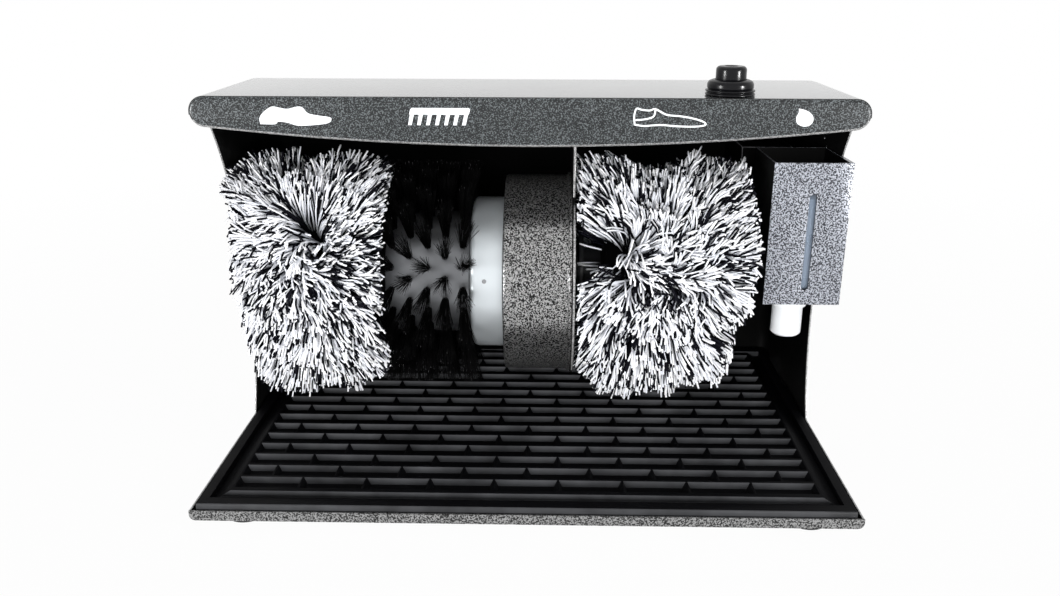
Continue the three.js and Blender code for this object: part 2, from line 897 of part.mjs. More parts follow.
// Mop pile: a soft drum with rounded shoulders, dished at its free end
function mopPile(x0, x1, radius, dishLeft, coreLeft, coreRight) {
  const bore = mopCoreWaist + seatGap;
  const inner = [coreLeft + mopCoreFlange + seatGap, coreRight - mopCoreFlange - seatGap];
  const flange = mopCoreRadius + seatGap;
  const leftShoulder = cornerArc(
    radius - mopEdgeRadius, x0 + mopEdgeRadius, mopEdgeRadius, -Math.PI / 2, 0, shoulderSteps,
  );
  const rightShoulder = cornerArc(
    radius - mopEdgeRadius, x1 - mopEdgeRadius, mopEdgeRadius, 0, Math.PI / 2, shoulderSteps,
  );
  const leftFace = dishLeft
    ? [[flange, x0 + mopHollowDepth], [mopHollowRadius, x0]]
    : [[flange, x0]];
  const rightFace = dishLeft
    ? [[flange, x1]]
    : [[mopHollowRadius, x1], [flange, x1 - mopHollowDepth]];
  return turnedOnShaft([
    [bore, inner[0]],
    [flange, inner[0]],
    ...leftFace,
    ...leftShoulder,
    ...rightShoulder,
    ...rightFace,
    [flange, inner[1]],
    [bore, inner[1]],
  ], smallSegments);
}

function brushCore() {
  const bore = shaftRadius + seatGap;
  const inside = brushCoreRadius - brushCoreWall;
  const webLeft = (brushLeft + brushRight - brushWeb) / 2;
  return turnedOnShaft([
    [bore, brushLeft],
    [brushHubRadius, brushLeft],
    [brushHubRadius, webLeft],
    [inside, webLeft],
    [inside, brushLeft],
    [brushCoreRadius, brushLeft],
    [brushCoreRadius, brushRight],
    [inside, brushRight],
    [inside, webLeft + brushWeb],
    [brushHubRadius, webLeft + brushWeb],
    [brushHubRadius, brushRight],
    [bore, brushRight],
  ], smallSegments);
}

// Bristle ring: a thin many-sided backing sleeve with tufts on its facets, staggered from
// column to column; a tuft's strands lean apart, are turned from column to column so that
// no corners line up, and lean outwards in the columns beside the motor
function bristleRing() {
  const inner = brushCoreRadius + seatGap;
  const facets = 2 * tuftsPerRow;
  const flat = Math.cos(Math.PI / facets);
  const chord = Math.tan(Math.PI / facets);
  const outer = inner + bristleBacking;
  const backing = outer * flat;
  const corner = (x, radius, turn) => {
    const angle = (2 * Math.PI * (turn % facets)) / facets;
    return [x, shaftY + radius * Math.cos(angle), shaftZ + radius * Math.sin(angle)];
  };
  const first = brushLeft + bristleEndInset;
  const pitch = (brushRight - bristleEndInset - first) / (bristleRowCount - 1);
  const middle = (bristleRowCount - 1) / 2;
  const strandLength = bristleTipRadius - backing;
  const tipSpread = tuftRootSpread + tuftSplayShare * strandLength;
  const points = [];
  const index = [];
  const face = (corners) => {
    const start = points.length;
    points.push(...corners);
    for (let k = 1; k + 1 < corners.length; k += 1) index.push(start, start + k, start + k + 1);
  };
  const triangle = (x, spread, side, half, around) => {
    const corners = [];
    for (let k = 0; k < bristleSides; k += 1) {
      const turn = around + (2 * Math.PI * k) / bristleSides;
      corners.push([
        x + spread * Math.cos(around) + half * Math.cos(turn),
        side + spread * Math.sin(around) + half * Math.sin(turn),
      ]);
    }
    return corners;
  };
  for (let facet = 0; facet < facets; facet += 1) {
    const angle = (2 * Math.PI * (facet + 1 / 2)) / facets;
    const at = (radius) => ([x, side]) => [
      x,
      shaftY + radius * Math.cos(angle) - side * Math.sin(angle),
      shaftZ + radius * Math.sin(angle) + side * Math.cos(angle),
    ];
    const strip = (radius) => [
      corner(brushLeft, radius, facet),
      corner(brushRight, radius, facet),
      corner(brushRight, radius, facet + 1),
      corner(brushLeft, radius, facet + 1),
    ];
    const roots = [];
    for (let row = facet % 2; row < bristleRowCount; row += 2) {
      const leanShare = bristleLeanShare * Math.max(0, (row - middle) / middle);
      const x = first + row * pitch;
      for (let strand = 0; strand < strandsPerTuft; strand += 1) {
        const turns = strand + (row + tuftTurnShare) * tuftTurnShare;
        const around = (2 * Math.PI * turns) / strandsPerTuft;
        const root = triangle(x, tuftRootSpread, 0, bristleRadius, around);
        const tip = triangle(x + leanShare * strandLength, tipSpread, 0, bristleTipHalf, around);
        const low = root.map(at(backing));
        const high = tip.map(at(bristleTipRadius));
        for (let k = 0; k < bristleSides; k += 1) {
          const next = (k + 1) % bristleSides;
          face([low[k], low[next], high[next], high[k]]);
        }
        face(high);
        roots.push(root);
      }
    }
    const asVectors = (outline) => outline.map(([u, v]) => new THREE.Vector2(u, v));
    const outline = [
      [brushLeft, -backing * chord],
      [brushRight, -backing * chord],
      [brushRight, backing * chord],
      [brushLeft, backing * chord],
    ];
    const top = strip(outer);
    const bottom = strip(inner);
    const surface = [...top, ...roots.flat().map(at(backing))];
    const start = points.length;
    points.push(...surface);
    for (const abc of THREE.ShapeUtils.triangulateShape(asVectors(outline), roots.map(asVectors))) {
      index.push(...abc.map((k) => start + k));
    }
    face([...bottom].reverse());
    face([top[0], top[3], bottom[3], bottom[0]]);
    face([top[2], top[1], bottom[1], bottom[2]]);
  }
  return solidFrom(points, index);
}

function spacer(x0, x1) {
  const bore = shaftRadius + seatGap;
  return turnedOnShaft([
    [bore, x0],
    [sleeveRadius, x0],
    [sleeveRadius, x1],
    [bore, x1],
  ], tinySegments);
}

function washer(x0) {
  const bore = threadRadius + seatGap;
  return turnedOnShaft([
    [bore, x0],
    [washerRadius, x0],
    [washerRadius, x0 + washerThickness],
    [bore, x0 + washerThickness],
  ], tinySegments);
}

function shaftNut(x0) {
  return plateAcrossX(hexagon(nutAcross, threadRadius + seatGap), x0, x0 + nutThickness)
    .translate([0, shaftY, shaftZ]);
}

// Push switch: a bulged rubber boot on the roof, the button in it and the switch below
function switchBoot() {
  const base = roofHeight + seatGap;
  const rim = base + bootFlange / 2;
  const shoulder = base + bootHeight;
  const middle = (rim + shoulder) / 2;
  return turnedOnZ([
    [buttonStemRadius + seatGap, base],
    [bootRadius, base],
    [bootRadius, rim],
    [bootWaist, base + bootFlange],
    [bootBulge, middle - bootFlange / 2],
    [bootBulge, middle + bootFlange / 2],
    [bootWaist, shoulder],
    [bootBore, shoulder],
    [bootBore, base + bootFloor],
    [buttonStemRadius + seatGap, base + bootFloor],
  ], switchX, switchY, smallSegments);
}

const buttonCapBottom = roofHeight + seatGap + bootFloor + buttonTravel + plungerTravelRoom;
const switchBodyTop = roofUnderside - seatGap;
const switchBodyBottom = switchBodyTop - switchBodyLength;
const switchNutTop = switchBodyTop;
const buttonStemBottom = switchBodyBottom + sheet + buttonTravel + plungerTravelRoom;

function switchButton() {
  const top = roofHeight + buttonTop;
  return turnedOnZ([
    [0, buttonStemBottom],
    [buttonStemRadius, buttonStemBottom],
    [buttonStemRadius, buttonCapBottom],
    [buttonRadius, buttonCapBottom],
    [buttonRadius, top - buttonDish],
    [buttonRadius - buttonDish, top],
    [buttonDishRadius, top],
    [buttonDishRadius - buttonDish / 2, top - buttonDish],
    [0, top - buttonDish],
  ], switchX, switchY, smallSegments);
}

function switchBody() {
  const thread = switchHole - seatGap;
  const nutBottom = switchNutTop - switchNutThickness - seatGap;
  return turnedOnZ([
    [switchBore, switchBodyBottom + sheet],
    [0, switchBodyBottom + sheet],
    [0, switchBodyBottom],
    [switchBodyRadius, switchBodyBottom],
    [switchBodyRadius, nutBottom],
    [thread, nutBottom],
    [thread, roofHeight],
    [switchBore, roofHeight],
  ], switchX, switchY, smallSegments);
}

function switchNut() {
  const bottom = switchNutTop - switchNutThickness;
  return plateAcrossZ(hexagon(switchNutAcross, switchHole), bottom, switchNutTop)
    .translate([switchX, switchY, 0]);
}

// Control box: a five-sided cover over the wiring, open to the rear wall
function controlBox() {
  const right = width / 2 - skirtDepth - seatGap;
  const rear = rearInside - seatGap;
  const outer = block(controlLeft, right, controlFront, rear, controlBottom, controlTop);
  const inner = block(
    controlLeft + controlWall, right - controlWall,
    controlFront + controlWall, rear + cutOverrun,
    controlBottom + controlWall, controlTop - controlWall,
  );
  const curve = turned([
    [0, 0],
    [rearRadius - sheet - seatGap, 0],
    [rearRadius - sheet - seatGap, width],
    [0, width],
  ], drumSegments).rotate([0, 90, 0]).translate([0, roofFlatEnd, roofHeight - rearRadius]);
  const below = block(0, width, controlFront - controlFoot, rear, 0, roofHeight - rearRadius);
  const keep = curve.add(below);
  return outer.subtract(inner).intersect(keep);
}

function cableGrommet() {
  const outside = depth + grommetProud;
  const inside = rearInside - grommetProud - seatGap;
  return turned([
    [grommetBore, inside],
    [grommetFlange, inside],
    [grommetFlange, rearInside - seatGap],
    [grommetHole, rearInside - seatGap],
    [grommetHole, depth + seatGap],
    [grommetFlange, depth + seatGap],
    [grommetFlange - grommetProud / 2, outside],
    [grommetBore, outside],
  ], tinySegments).rotate([-90, 0, 0]).translate([grommetX, 0, grommetZ]);
}

// Dispenser box: front, left side, back and floor folded from one sheet, open above,
// with a level slot in front; its right side meets the panel's hollowed edge
function slotShape() {
  const radius = slotWidth / 2;
  const shape = new THREE.Shape();
  shape.absarc(slotX, slotTop - radius, radius, 0, Math.PI, false);
  shape.absarc(slotX, slotBottom + radius, radius, Math.PI, 2 * Math.PI, false);
  return shape;
}

function dispenserBox() {
  const right = width / 2;
  const rear = boxFront + boxDepth;
  const insideRight = right - sheet - seatGap;
  const clear = sheet + seatGap;
  const outer = block(boxLeft, right, boxFront, rear, boxBottom, boxTop);
  const inner = block(
    boxLeft + sheet, insideRight - sheet,
    boxFront + sheet, rear - sheet,
    boxBottom + sheet, boxTop + cutOverrun,
  );
  const edge = frontEdgePoints();
  const panelSpace = new THREE.Shape();
  panelSpace.moveTo(depth, 0);
  panelSpace.lineTo(depth, roofHeight);
  for (const { x, y } of edge) panelSpace.lineTo(x - seatGap - sheet / 4, y);
  panelSpace.lineTo(edge[edge.length - 1].x, 0);
  return cutFrom(
    outer,
    inner,
    plateAcrossX(panelSpace, right - clear, right + cutOverrun),
    plateAcrossY(slotShape(), boxFront - cutOverrun, boxFront + sheet + cutOverrun),
    turnedOnZ([
      [0, boxBottom - cutOverrun],
      [bottleNeck + seatGap, boxBottom - cutOverrun],
      [bottleNeck + seatGap, boxBottom + sheet + cutOverrun],
      [0, boxBottom + sheet + cutOverrun],
    ], bottleX, bottleY, smallSegments),
  );
}

// Polish bottle: a thin blown shell, its neck through the box floor, a filler mouth above
const bottleBottom = boxBottom + sheet + seatGap;
const neckBottom = boxBottom - neckInCollar;
const shoulderTop = bottleBottom + bottleHeight;
const fillerTop = shoulderTop + fillerHeight;

function polishBottle() {
  const foot = bottleShoulder / 2;
  return turnedOnZ([
    [bottleNeck - bottleWall, neckBottom],
    [bottleNeck, neckBottom],
    [bottleNeck, bottleBottom],
    [bottleRadius - foot, bottleBottom],
    [bottleRadius, bottleBottom + foot],
    [bottleRadius, shoulderTop - bottleShoulder],
    [fillerRadius, shoulderTop],
    [fillerRadius, fillerTop],
    [fillerRadius - bottleWall, fillerTop],
    [fillerRadius - bottleWall, shoulderTop - bottleWall],
    [bottleRadius - bottleWall, shoulderTop - bottleShoulder - bottleWall],
    [bottleRadius - bottleWall, bottleBottom + foot],
    [bottleRadius - foot - bottleWall, bottleBottom + bottleWall],
    [bottleNeck - bottleWall, bottleBottom + bottleWall],
  ], bottleX, bottleY, tinySegments);
}

function bottleCap() {
  const bottom = shoulderTop + seatGap;
  const top = bottom + capHeight;
  const inside = fillerRadius + seatGap;
  return turnedOnZ([
    [inside, bottom],
    [capRadius, bottom],
    [capRadius, top - capWall / 2],
    [capRadius - capWall / 2, top],
    [0, top],
    [0, top - capWall],
    [inside, top - capWall],
  ], bottleX, bottleY, smallSegments);
}

// Valve collar: a ring nut on the bottle's neck under the box, lipped below to keep the
// nozzle's flange in
const collarTop = boxBottom - seatGap;
const collarBottom = collarTop - collarHeight;

function valveCollar() {
  const neck = bottleNeck + seatGap;
  const mouth = nozzleRadius + seatGap;
  const chamber = mouth + nozzleFlangeProud;
  const ceiling = collarTop - collarWall;
  return turnedOnZ([
    [mouth, collarBottom],
    [collarRadius, collarBottom],
    [collarRadius, collarTop],
    [neck, collarTop],
    [neck, ceiling],
    [chamber, ceiling],
    [chamber, collarBottom + collarLip],
    [mouth, collarBottom + collarLip],
  ], bottleX, bottleY, smallSegments);
}

// Nozzle: a flanged cup that slides up in the collar; its stem lifts the valve in the neck
const nozzleTop = collarTop - collarWall - seatGap - nozzleTravel;

function dispenserNozzle() {
  const floor = nozzleBottom + nozzleFloor;
  return turnedOnZ([
    [nozzleOutlet, nozzleBottom],
    [nozzleRadius - nozzleEdge, nozzleBottom],
    [nozzleRadius, nozzleBottom + nozzleEdge],
    [nozzleRadius, nozzleTop - nozzleFlange],
    [nozzleRadius + nozzleFlangeProud, nozzleTop - nozzleFlange],
    [nozzleRadius + nozzleFlangeProud, nozzleTop],
    [nozzleRadius - nozzleWall, nozzleTop],
    [nozzleRadius - nozzleWall, floor],
    [nozzleOutlet + valveStemRadius, floor],
    [nozzleOutlet + valveStemRadius, valveStemTop - nozzleTravel],
    [nozzleOutlet, valveStemTop - nozzleTravel],
  ], bottleX, bottleY, smallSegments);
}

function valveSpring() {
  const floor = nozzleBottom + nozzleFloor + springSeatGap + springWire;
  const top = neckBottom - springSeatGap - springWire;
  return coil(bottleX, bottleY, springRadius, floor, top);
}

// Assembly
addFeet();
place('base_tray', tray(), hammeredPaint);
place('rubber_mat', mat(), blackRubber);
place('hood_shell', hood(), hammeredPaint);
place('left_side_panel', sidePanel(-1), hammeredPaint);
place('right_side_panel', sidePanel(1), hammeredPaint);

place('motor_bracket', motorBracket(), hammeredPaint);
place('motor_cover', motorCover(), hammeredPaint);
place('motor_end_shroud', endShroud(), whitePlastic);
place('right_end_bell', endBell(rightBellLeft, 1), castAlloy);
place('left_end_bell', endBell(leftBellRight, -1), castAlloy);
place('right_bearing', bearing(rightBellLeft + seatGap), steel);
place('left_bearing', bearing(leftBellRight - seatGap - bearingWidth), steel);
place('motor_stator', stator(), copper);
place('motor_rotor', rotorCore(), castAlloy);
place('motor_shaft', shaft(), steel);

const leftCoreRight = leftMopRight - seatGap;
const rightCoreLeft = rightBellLeft + seatGap + bearingWidth + runClear;
place('left_mop_core', mopCore(leftCoreLeft, leftCoreRight), blackPlastic);
place('left_mop_pile', mopPile(
  leftMopLeft, leftMopRight, mopRadius, true, leftCoreLeft, leftCoreRight,
), yarn);
place('right_mop_core', mopCore(rightCoreLeft, rightCoreRight), blackPlastic);
place('right_mop_pile', mopPile(
  rightMopLeft, rightMopRight, rightMopRadius, false, rightCoreLeft, rightCoreRight,
), yarn);
place('brush_core', brushCore(), blackPlastic);
place('bristle_ring', bristleRing(), bristle);
const spacerRight = leftBellRight - seatGap - bearingWidth - runClear;
place('brush_spacer', spacer(brushRight + seatGap, spacerRight), steel);
place('left_shaft_washer', washer(leftWasherLeft), steel);
place('left_shaft_nut', shaftNut(leftNutLeft), steel);
place('right_shaft_washer', washer(rightWasherLeft), steel);
place('right_shaft_nut', shaftNut(rightNutLeft), steel);

place('switch_boot', switchBoot(), blackRubber);
place('switch_button', switchButton(), blackPlastic);
place('switch_body', switchBody(), blackPlastic);
place('switch_nut', switchNut(), steel);
place('control_box', controlBox(), blackPaint);
place('cable_grommet', cableGrommet(), blackRubber);

place('dispenser_box', dispenserBox(), hammeredPaint);
place('polish_bottle', polishBottle(), clearPlastic);
place('bottle_cap', bottleCap(), whitePlastic);
place('valve_collar', valveCollar(), whitePlastic);
place('dispenser_nozzle', dispenserNozzle(), whitePlastic);
place('valve_spring', valveSpring(), steel);

machine.position.y = -(depth + grommetProud) / 2;

export default machine;
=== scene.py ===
# Electric shoe cleaning machine: finishes and fine pieces around the fixed frame.
# Metres, +X to the right seen from the front, +Y to the rear, +Z up.
import json
import math

import bmesh
import bpy
import numpy as np
from mathutils import Matrix, Vector

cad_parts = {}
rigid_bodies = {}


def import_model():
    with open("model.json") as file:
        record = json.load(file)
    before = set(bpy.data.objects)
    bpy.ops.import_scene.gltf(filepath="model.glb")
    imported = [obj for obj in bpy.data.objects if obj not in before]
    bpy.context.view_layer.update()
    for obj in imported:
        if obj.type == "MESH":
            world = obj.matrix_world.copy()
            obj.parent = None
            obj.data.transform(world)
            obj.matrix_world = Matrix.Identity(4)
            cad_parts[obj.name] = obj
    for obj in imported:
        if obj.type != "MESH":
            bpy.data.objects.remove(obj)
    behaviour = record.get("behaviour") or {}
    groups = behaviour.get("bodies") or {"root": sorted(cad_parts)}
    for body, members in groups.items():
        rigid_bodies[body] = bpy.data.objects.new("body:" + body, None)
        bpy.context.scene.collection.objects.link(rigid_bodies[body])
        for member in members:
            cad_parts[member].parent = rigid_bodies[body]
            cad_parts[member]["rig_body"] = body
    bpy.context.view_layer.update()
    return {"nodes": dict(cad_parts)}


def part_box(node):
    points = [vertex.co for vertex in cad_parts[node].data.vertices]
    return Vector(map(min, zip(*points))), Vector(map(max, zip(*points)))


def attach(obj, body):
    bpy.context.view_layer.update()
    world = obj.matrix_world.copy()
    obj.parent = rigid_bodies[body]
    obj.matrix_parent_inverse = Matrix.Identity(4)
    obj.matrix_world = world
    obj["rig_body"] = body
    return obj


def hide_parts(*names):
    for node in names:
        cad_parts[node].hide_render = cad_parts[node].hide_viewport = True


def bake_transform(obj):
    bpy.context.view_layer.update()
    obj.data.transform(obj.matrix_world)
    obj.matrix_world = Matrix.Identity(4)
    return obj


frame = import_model()

MM = 0.001
HOUSING = "housing"
SHAFT = "brush_shaft"

# Places taken from the frame
hood_low, hood_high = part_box("hood_shell")
tray_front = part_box("base_tray")[0].y
shaft_low, shaft_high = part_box("motor_shaft")
box_low, box_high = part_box("dispenser_box")
shaft_y = (shaft_low.y + shaft_high.y) / 2
shaft_z = (shaft_low.z + shaft_high.z) / 2
ALONG_SHAFT = Matrix.Translation((0, shaft_y, shaft_z)) @ Matrix.Rotation(math.pi / 2, 4, "Y")

# Sheet metal sizes
SHEET = 1.2 * MM
SEAT_GAP = 0.3 * MM
EDGE_RADIUS = 9.2 * MM
SKIRT_DEPTH = 11 * MM
REAR_RADIUS = 98 * MM
FASCIA_THICKNESS = 2.4 * MM
FASCIA_DROP = 29 * MM
FRONT_ROUNDING = 2.2 * MM
EDGE_STEPS = 10
REAR_STEPS = 28
FRONT_STEPS = 5


# Materials

def fill(tree, node, inputs):
    """Sets a node's inputs, each to a plain value or to another node's output."""
    for key, value in inputs.items():
        if isinstance(value, bpy.types.NodeSocket):
            tree.links.new(value, node.inputs[key])
        else:
            node.inputs[key].default_value = value


def add_node(tree, kind, inputs=None, **values):
    node = tree.nodes.new(kind)
    for key, value in values.items():
        setattr(node, key, value)
    fill(tree, node, inputs or {})
    return node


def new_material(name):
    material = bpy.data.materials.new(name)
    material.use_nodes = True
    return material, material.node_tree, material.node_tree.nodes["Principled BSDF"]


def noise(tree, scale, detail=2, roughness=0.5, distortion=0, stretch=(1, 1, 1)):
    """A noise texture in the object's own metres; scale is in waves per metre."""
    place = add_node(tree, "ShaderNodeTexCoord").outputs["Object"]
    mapping = add_node(tree, "ShaderNodeMapping", {"Vector": place, "Scale": stretch})
    return add_node(tree, "ShaderNodeTexNoise", {
        "Vector": mapping.outputs["Vector"], "Scale": scale, "Detail": detail,
        "Roughness": roughness, "Distortion": distortion,
    }).outputs["Fac"]


def ramp(tree, source, stops):
    node = add_node(tree, "ShaderNodeValToRGB", {"Fac": source})
    elements = node.color_ramp.elements
    while len(elements) < len(stops):
        elements.new(0.5)
    for element, (position, color) in zip(elements, stops):
        element.position = position
        element.color = (*color, 1)
    return node.outputs["Color"]


def spread(tree, source, low, high, from_low=0.3, from_high=0.7):
    return add_node(tree, "ShaderNodeMapRange", {
        "Value": source, "From Min": from_low, "From Max": from_high, "To Min": low, "To Max": high,
    }).outputs["Result"]


def bump(tree, height, distance, strength):
    return add_node(tree, "ShaderNodeBump", {
        "Height": height, "Distance": distance, "Strength": strength,
    }).outputs["Normal"]


def grey(value):
    return (value, value, value)


def scaled(color, factor):
    return tuple(min(1, c * factor) for c in color)


def hammered(name, dark, light, waves, relief, rough, metallic, coat=0, veins=0.505):
    """Hammer-effect enamel: a fine worm-like figure of light and dark with a shallow relief,
    under a smooth clear coat where it has one. A higher veins leaves less of the light tone."""
    material, tree, shader = new_material(name)
    figure = noise(tree, waves, detail=1, roughness=0.4, distortion=0.6)
    fill(tree, shader, {
        "Base Color": ramp(tree, figure, [(veins - 0.05, dark), (veins + 0.05, light)]),
        "Roughness": spread(tree, noise(tree, 14), rough - 0.03, rough + 0.05),
        "Metallic": metallic, "Coat Weight": coat, "Coat Roughness": 0.08,
        "Normal": bump(tree, figure, relief, 0.6),
    })
    return material


def enamel(name, color, rough, shine):
    """Plain enamel with a slight orange peel."""
    material, tree, shader = new_material(name)
    broad = noise(tree, 30, detail=3)
    fill(tree, shader, {
        "Base Color": ramp(tree, broad, [(0.3, color), (0.7, scaled(color, 1.25))]),
        "Roughness": spread(tree, broad, rough - 0.05, rough + 0.08),
        "Specular IOR Level": shine,
        "Normal": bump(tree, noise(tree, 900, detail=1), 0.03 * MM, 0.5),
    })
    return material


def moulded(name, color, rough, grain, vary, shine=0.5, pearl=0, coat=0):
    """Moulded plastic or rubber: faint mottling, fine grain and uneven gloss. pearl is how
    much of it has a metallic sheen."""
    material, tree, shader = new_material(name)
    broad = noise(tree, 35, detail=3)
    stops = [(0.3, scaled(color, 1 - vary)), (0.7, scaled(color, 1 + vary))]
    fill(tree, shader, {
        "Base Color": ramp(tree, broad, stops),
        "Roughness": spread(tree, broad, rough - 0.05, rough + 0.07),
        "Specular IOR Level": shine, "Metallic": pearl,
        "Coat Weight": coat, "Coat Roughness": 0.1,
        "Normal": bump(tree, noise(tree, 1600), grain, 0.5),
    })
    return material


def metal(name, color, rough, stretch=(1, 1, 1), waves=900):
    """Bare metal with turning or casting marks and slight stains."""
    material, tree, shader = new_material(name)
    marks = noise(tree, waves, detail=3, stretch=stretch)
    stains = noise(tree, 45, detail=4)
    fill(tree, shader, {
        "Base Color": ramp(tree, stains, [(0.35, scaled(color, 0.82)), (0.65, color)]),
        "Roughness": spread(tree, marks, rough - 0.08, rough + 0.1), "Metallic": 1,
        "Normal": bump(tree, marks, 0.02 * MM, 0.4),
    })
    return material


def strands(name, low, high):
    """Yarn or bristle: each strand has a tone of its own and some fuzz. The tone also carries
    painted light: painted shade that dims the yarn towards its root, and painted highlights on the
    bristle tips.
    """
    material, tree, shader = new_material(name)
    tone = add_node(tree, "ShaderNodeAttribute", attribute_name="tone").outputs["Fac"]
    fuzz = noise(tree, 2600)
    fill(tree, shader, {
        # Low tones run down to near black: painted shade at the roots.
        "Base Color": ramp(tree, tone, [(0.05, scaled(low, 0.06)), (0.6, low), (1, high)]),
        "Roughness": spread(tree, fuzz, 0.8, 1), "Specular IOR Level": 0.08,
        "Normal": bump(tree, fuzz, 0.1 * MM, 0.6),
    })
    return material


def clear_plastic(name):
    material, tree, shader = new_material(name)
    broad = noise(tree, 25)
    fill(tree, shader, {
        "Base Color": ramp(tree, broad, [(0.3, (0.34, 0.42, 0.54)), (0.7, (0.42, 0.50, 0.62))]),
        "Roughness": spread(tree, broad, 0.22, 0.32), "Transmission Weight": 0.3, "IOR": 1.5,
    })
    return material


def windings(name):
    """Lacquered iron and copper windings, in fine turns round the shaft."""
    material, tree, shader = new_material(name)
    turns = noise(tree, 700, stretch=(2.5, 1, 1))
    stops = [(0.35, (0.10, 0.035, 0.012)), (0.65, (0.42, 0.17, 0.06))]
    fill(tree, shader, {
        "Base Color": ramp(tree, turns, stops), "Roughness": spread(tree, turns, 0.28, 0.45),
        "Metallic": 0.7, "Normal": bump(tree, turns, 0.15 * MM, 0.6),
    })
    return material


# One hammered paint in several copies, set lighter or darker by how the light falls on each part:
# painted light and painted shade.
shell_paint = hammered(
    "hammered_fine", (0.006, 0.007, 0.008), (0.14, 0.15, 0.155), waves=1300, relief=0.04 * MM,
    rough=0.45, metallic=0.2, coat=1, veins=0.56,
)
# The fascia's and side panels' copy is set darker, as painted shade.
fascia_paint = hammered(
    "hammered_front", (0.002, 0.003, 0.0035), (0.122, 0.135, 0.141), waves=1300,
    relief=0.04 * MM, rough=0.34, metallic=0.1, veins=0.56,
)
# A lighter copy for narrow edges that catch the light: a painted highlight.
edge_highlight_paint = hammered(
    "hammered_edge_highlight", grey(0.16), grey(0.42), waves=1100, relief=0.03 * MM, rough=0.4,
    metallic=0.3, coat=0.6,
)
# The tray lip's copy is set lighter where it faces the lamps, as painted light.
lip_paint = hammered(
    "hammered_lip", grey(0.003), grey(0.25), waves=1050, relief=0.04 * MM, rough=0.4,
    metallic=0.2,
)
# The motor cover's copy is set lighter, as a painted sheen.
cover_paint = hammered(
    "hammered_cover", grey(0.012), grey(0.45), waves=1150, relief=0.05 * MM, rough=0.3,
    metallic=0.85,
)
# The dispenser box's copy is set lighter where it faces the lamps, as painted light.
box_paint = hammered(
    "hammered_box", (0.03, 0.032, 0.04), (0.42, 0.44, 0.49), waves=1000, relief=0.05 * MM,
    rough=0.3, metallic=0.3,
)
black_enamel = enamel("black_enamel", grey(0.002), rough=0.5, shine=0.15)
# A lighter enamel for the control box's edges: a painted highlight.
enamel_edge_highlight = moulded("enamel_edge_highlight", (0.15, 0.15, 0.16), 0.5, 0.02 * MM, vary=0.4)
mat_rubber = moulded("mat_rubber", (0.0015, 0.0015, 0.002), 0.6, 0.03 * MM, vary=0.3, shine=0.05)
# A lighter rubber for the mat's walls turned to the front lamps: painted light.
lit_face_rubber = moulded("lit_face_rubber", (0.04, 0.041, 0.044), 0.5, 0.03 * MM, vary=0.5, shine=0.2)
gloss_rubber = moulded(
    "gloss_rubber", (0.003, 0.003, 0.004), 0.24, 0.003 * MM, vary=0.2, shine=0.22,
)
foot_rubber = moulded("foot_rubber", (0.015, 0.015, 0.016), 0.7, 0.04 * MM, vary=0.3)
white_plastic = moulded("white_plastic", (0.82, 0.84, 0.86), 0.3, 0.008 * MM, vary=0.03, coat=0.3)
shroud_plastic = moulded(
    "shroud_plastic", (0.80, 0.85, 0.88), 0.5, 0.01 * MM, vary=0.03, shine=0.15, pearl=0.75,
)
black_plastic = moulded("black_plastic", (0.02, 0.02, 0.022), 0.32, 0.01 * MM, vary=0.15)
# The brush core's black plastic, set grey and metallic so that it shows a broad highlight: a
# painted sheen.
core_plastic = moulded(
    "core_plastic", (0.25, 0.257, 0.27), 0.36, 0.02 * MM, vary=0.25, shine=0.15, pearl=0.85,
)
print_white = moulded("print_white", (0.90, 0.92, 0.94), 0.4, 0.004 * MM, vary=0.02)
bottle_plastic = clear_plastic("bottle_plastic")
cast_metal = metal("cast_metal", (0.52, 0.53, 0.55), rough=0.42, waves=500)
turned_steel = metal("turned_steel", (0.58, 0.59, 0.61), rough=0.26, stretch=(6, 1, 1))
screw_steel = metal("screw_steel", (0.55, 0.56, 0.58), rough=0.3)
motor_windings = windings("motor_windings")
white_yarn = strands("white_yarn", (0.82, 0.84, 0.90), (0.97, 0.97, 0.98))
black_yarn = strands("black_yarn", (0.001, 0.001, 0.002), (0.008, 0.008, 0.012))
# Near-black yarn under the strands: painted shade deep in the pile.
under_yarn_shade = strands("under_yarn_shade", (0.002, 0.002, 0.003), (0.01, 0.01, 0.012))
# The filament's lighter tone is used only at the tips: a painted highlight.
filament = strands("filament", (0.004, 0.004, 0.0045), (0.16, 0.16, 0.165))


# Mesh pieces
NEAR = 1e-6
SHARP_FROM = 35
SEGMENTS = 96
FINE_SEGMENTS = 160


def linked(name, mesh):
    piece = bpy.data.objects.new(name, mesh)
    bpy.context.scene.collection.objects.link(piece)
    return piece


def add_mesh(name, mesh, materials, body, slot, replaced=()):
    for material in materials:
        mesh.materials.append(material)
    piece = linked(name, mesh)
    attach(piece, body)
    if replaced:
        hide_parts(*replaced)
    return piece


def add_shape(name, shape, materials, body, slot, replaced=(), degrees=SHARP_FROM, pick=None):
    """A piece with its faces turned outwards and an edge kept sharp where they meet at more
    than the angle. pick says which of the materials a face has, from its middle and normal."""
    bmesh.ops.recalc_face_normals(shape, faces=shape.faces)
    limit = math.radians(degrees)
    for edge in shape.edges:
        edge.smooth = len(edge.link_faces) == 2 and edge.calc_face_angle(0) < limit
    for face in shape.faces:
        face.smooth = True
        if pick:
            face.material_index = pick(face.calc_center_median(), face.normal)
    mesh = bpy.data.meshes.new(name)
    shape.to_mesh(mesh)
    shape.free()
    return add_mesh(name, mesh, materials, body, slot, replaced)


def shape_of(points, faces, kinds=None):
    """Faces by their points' numbers; kinds gives the number of each face's material."""
    shape = bmesh.new()
    corners = [shape.verts.new(point) for point in points]
    for i, face in enumerate(faces):
        made = shape.faces.new([corners[k] for k in face])
        if kinds:
            made.material_index = kinds[i]
    return shape


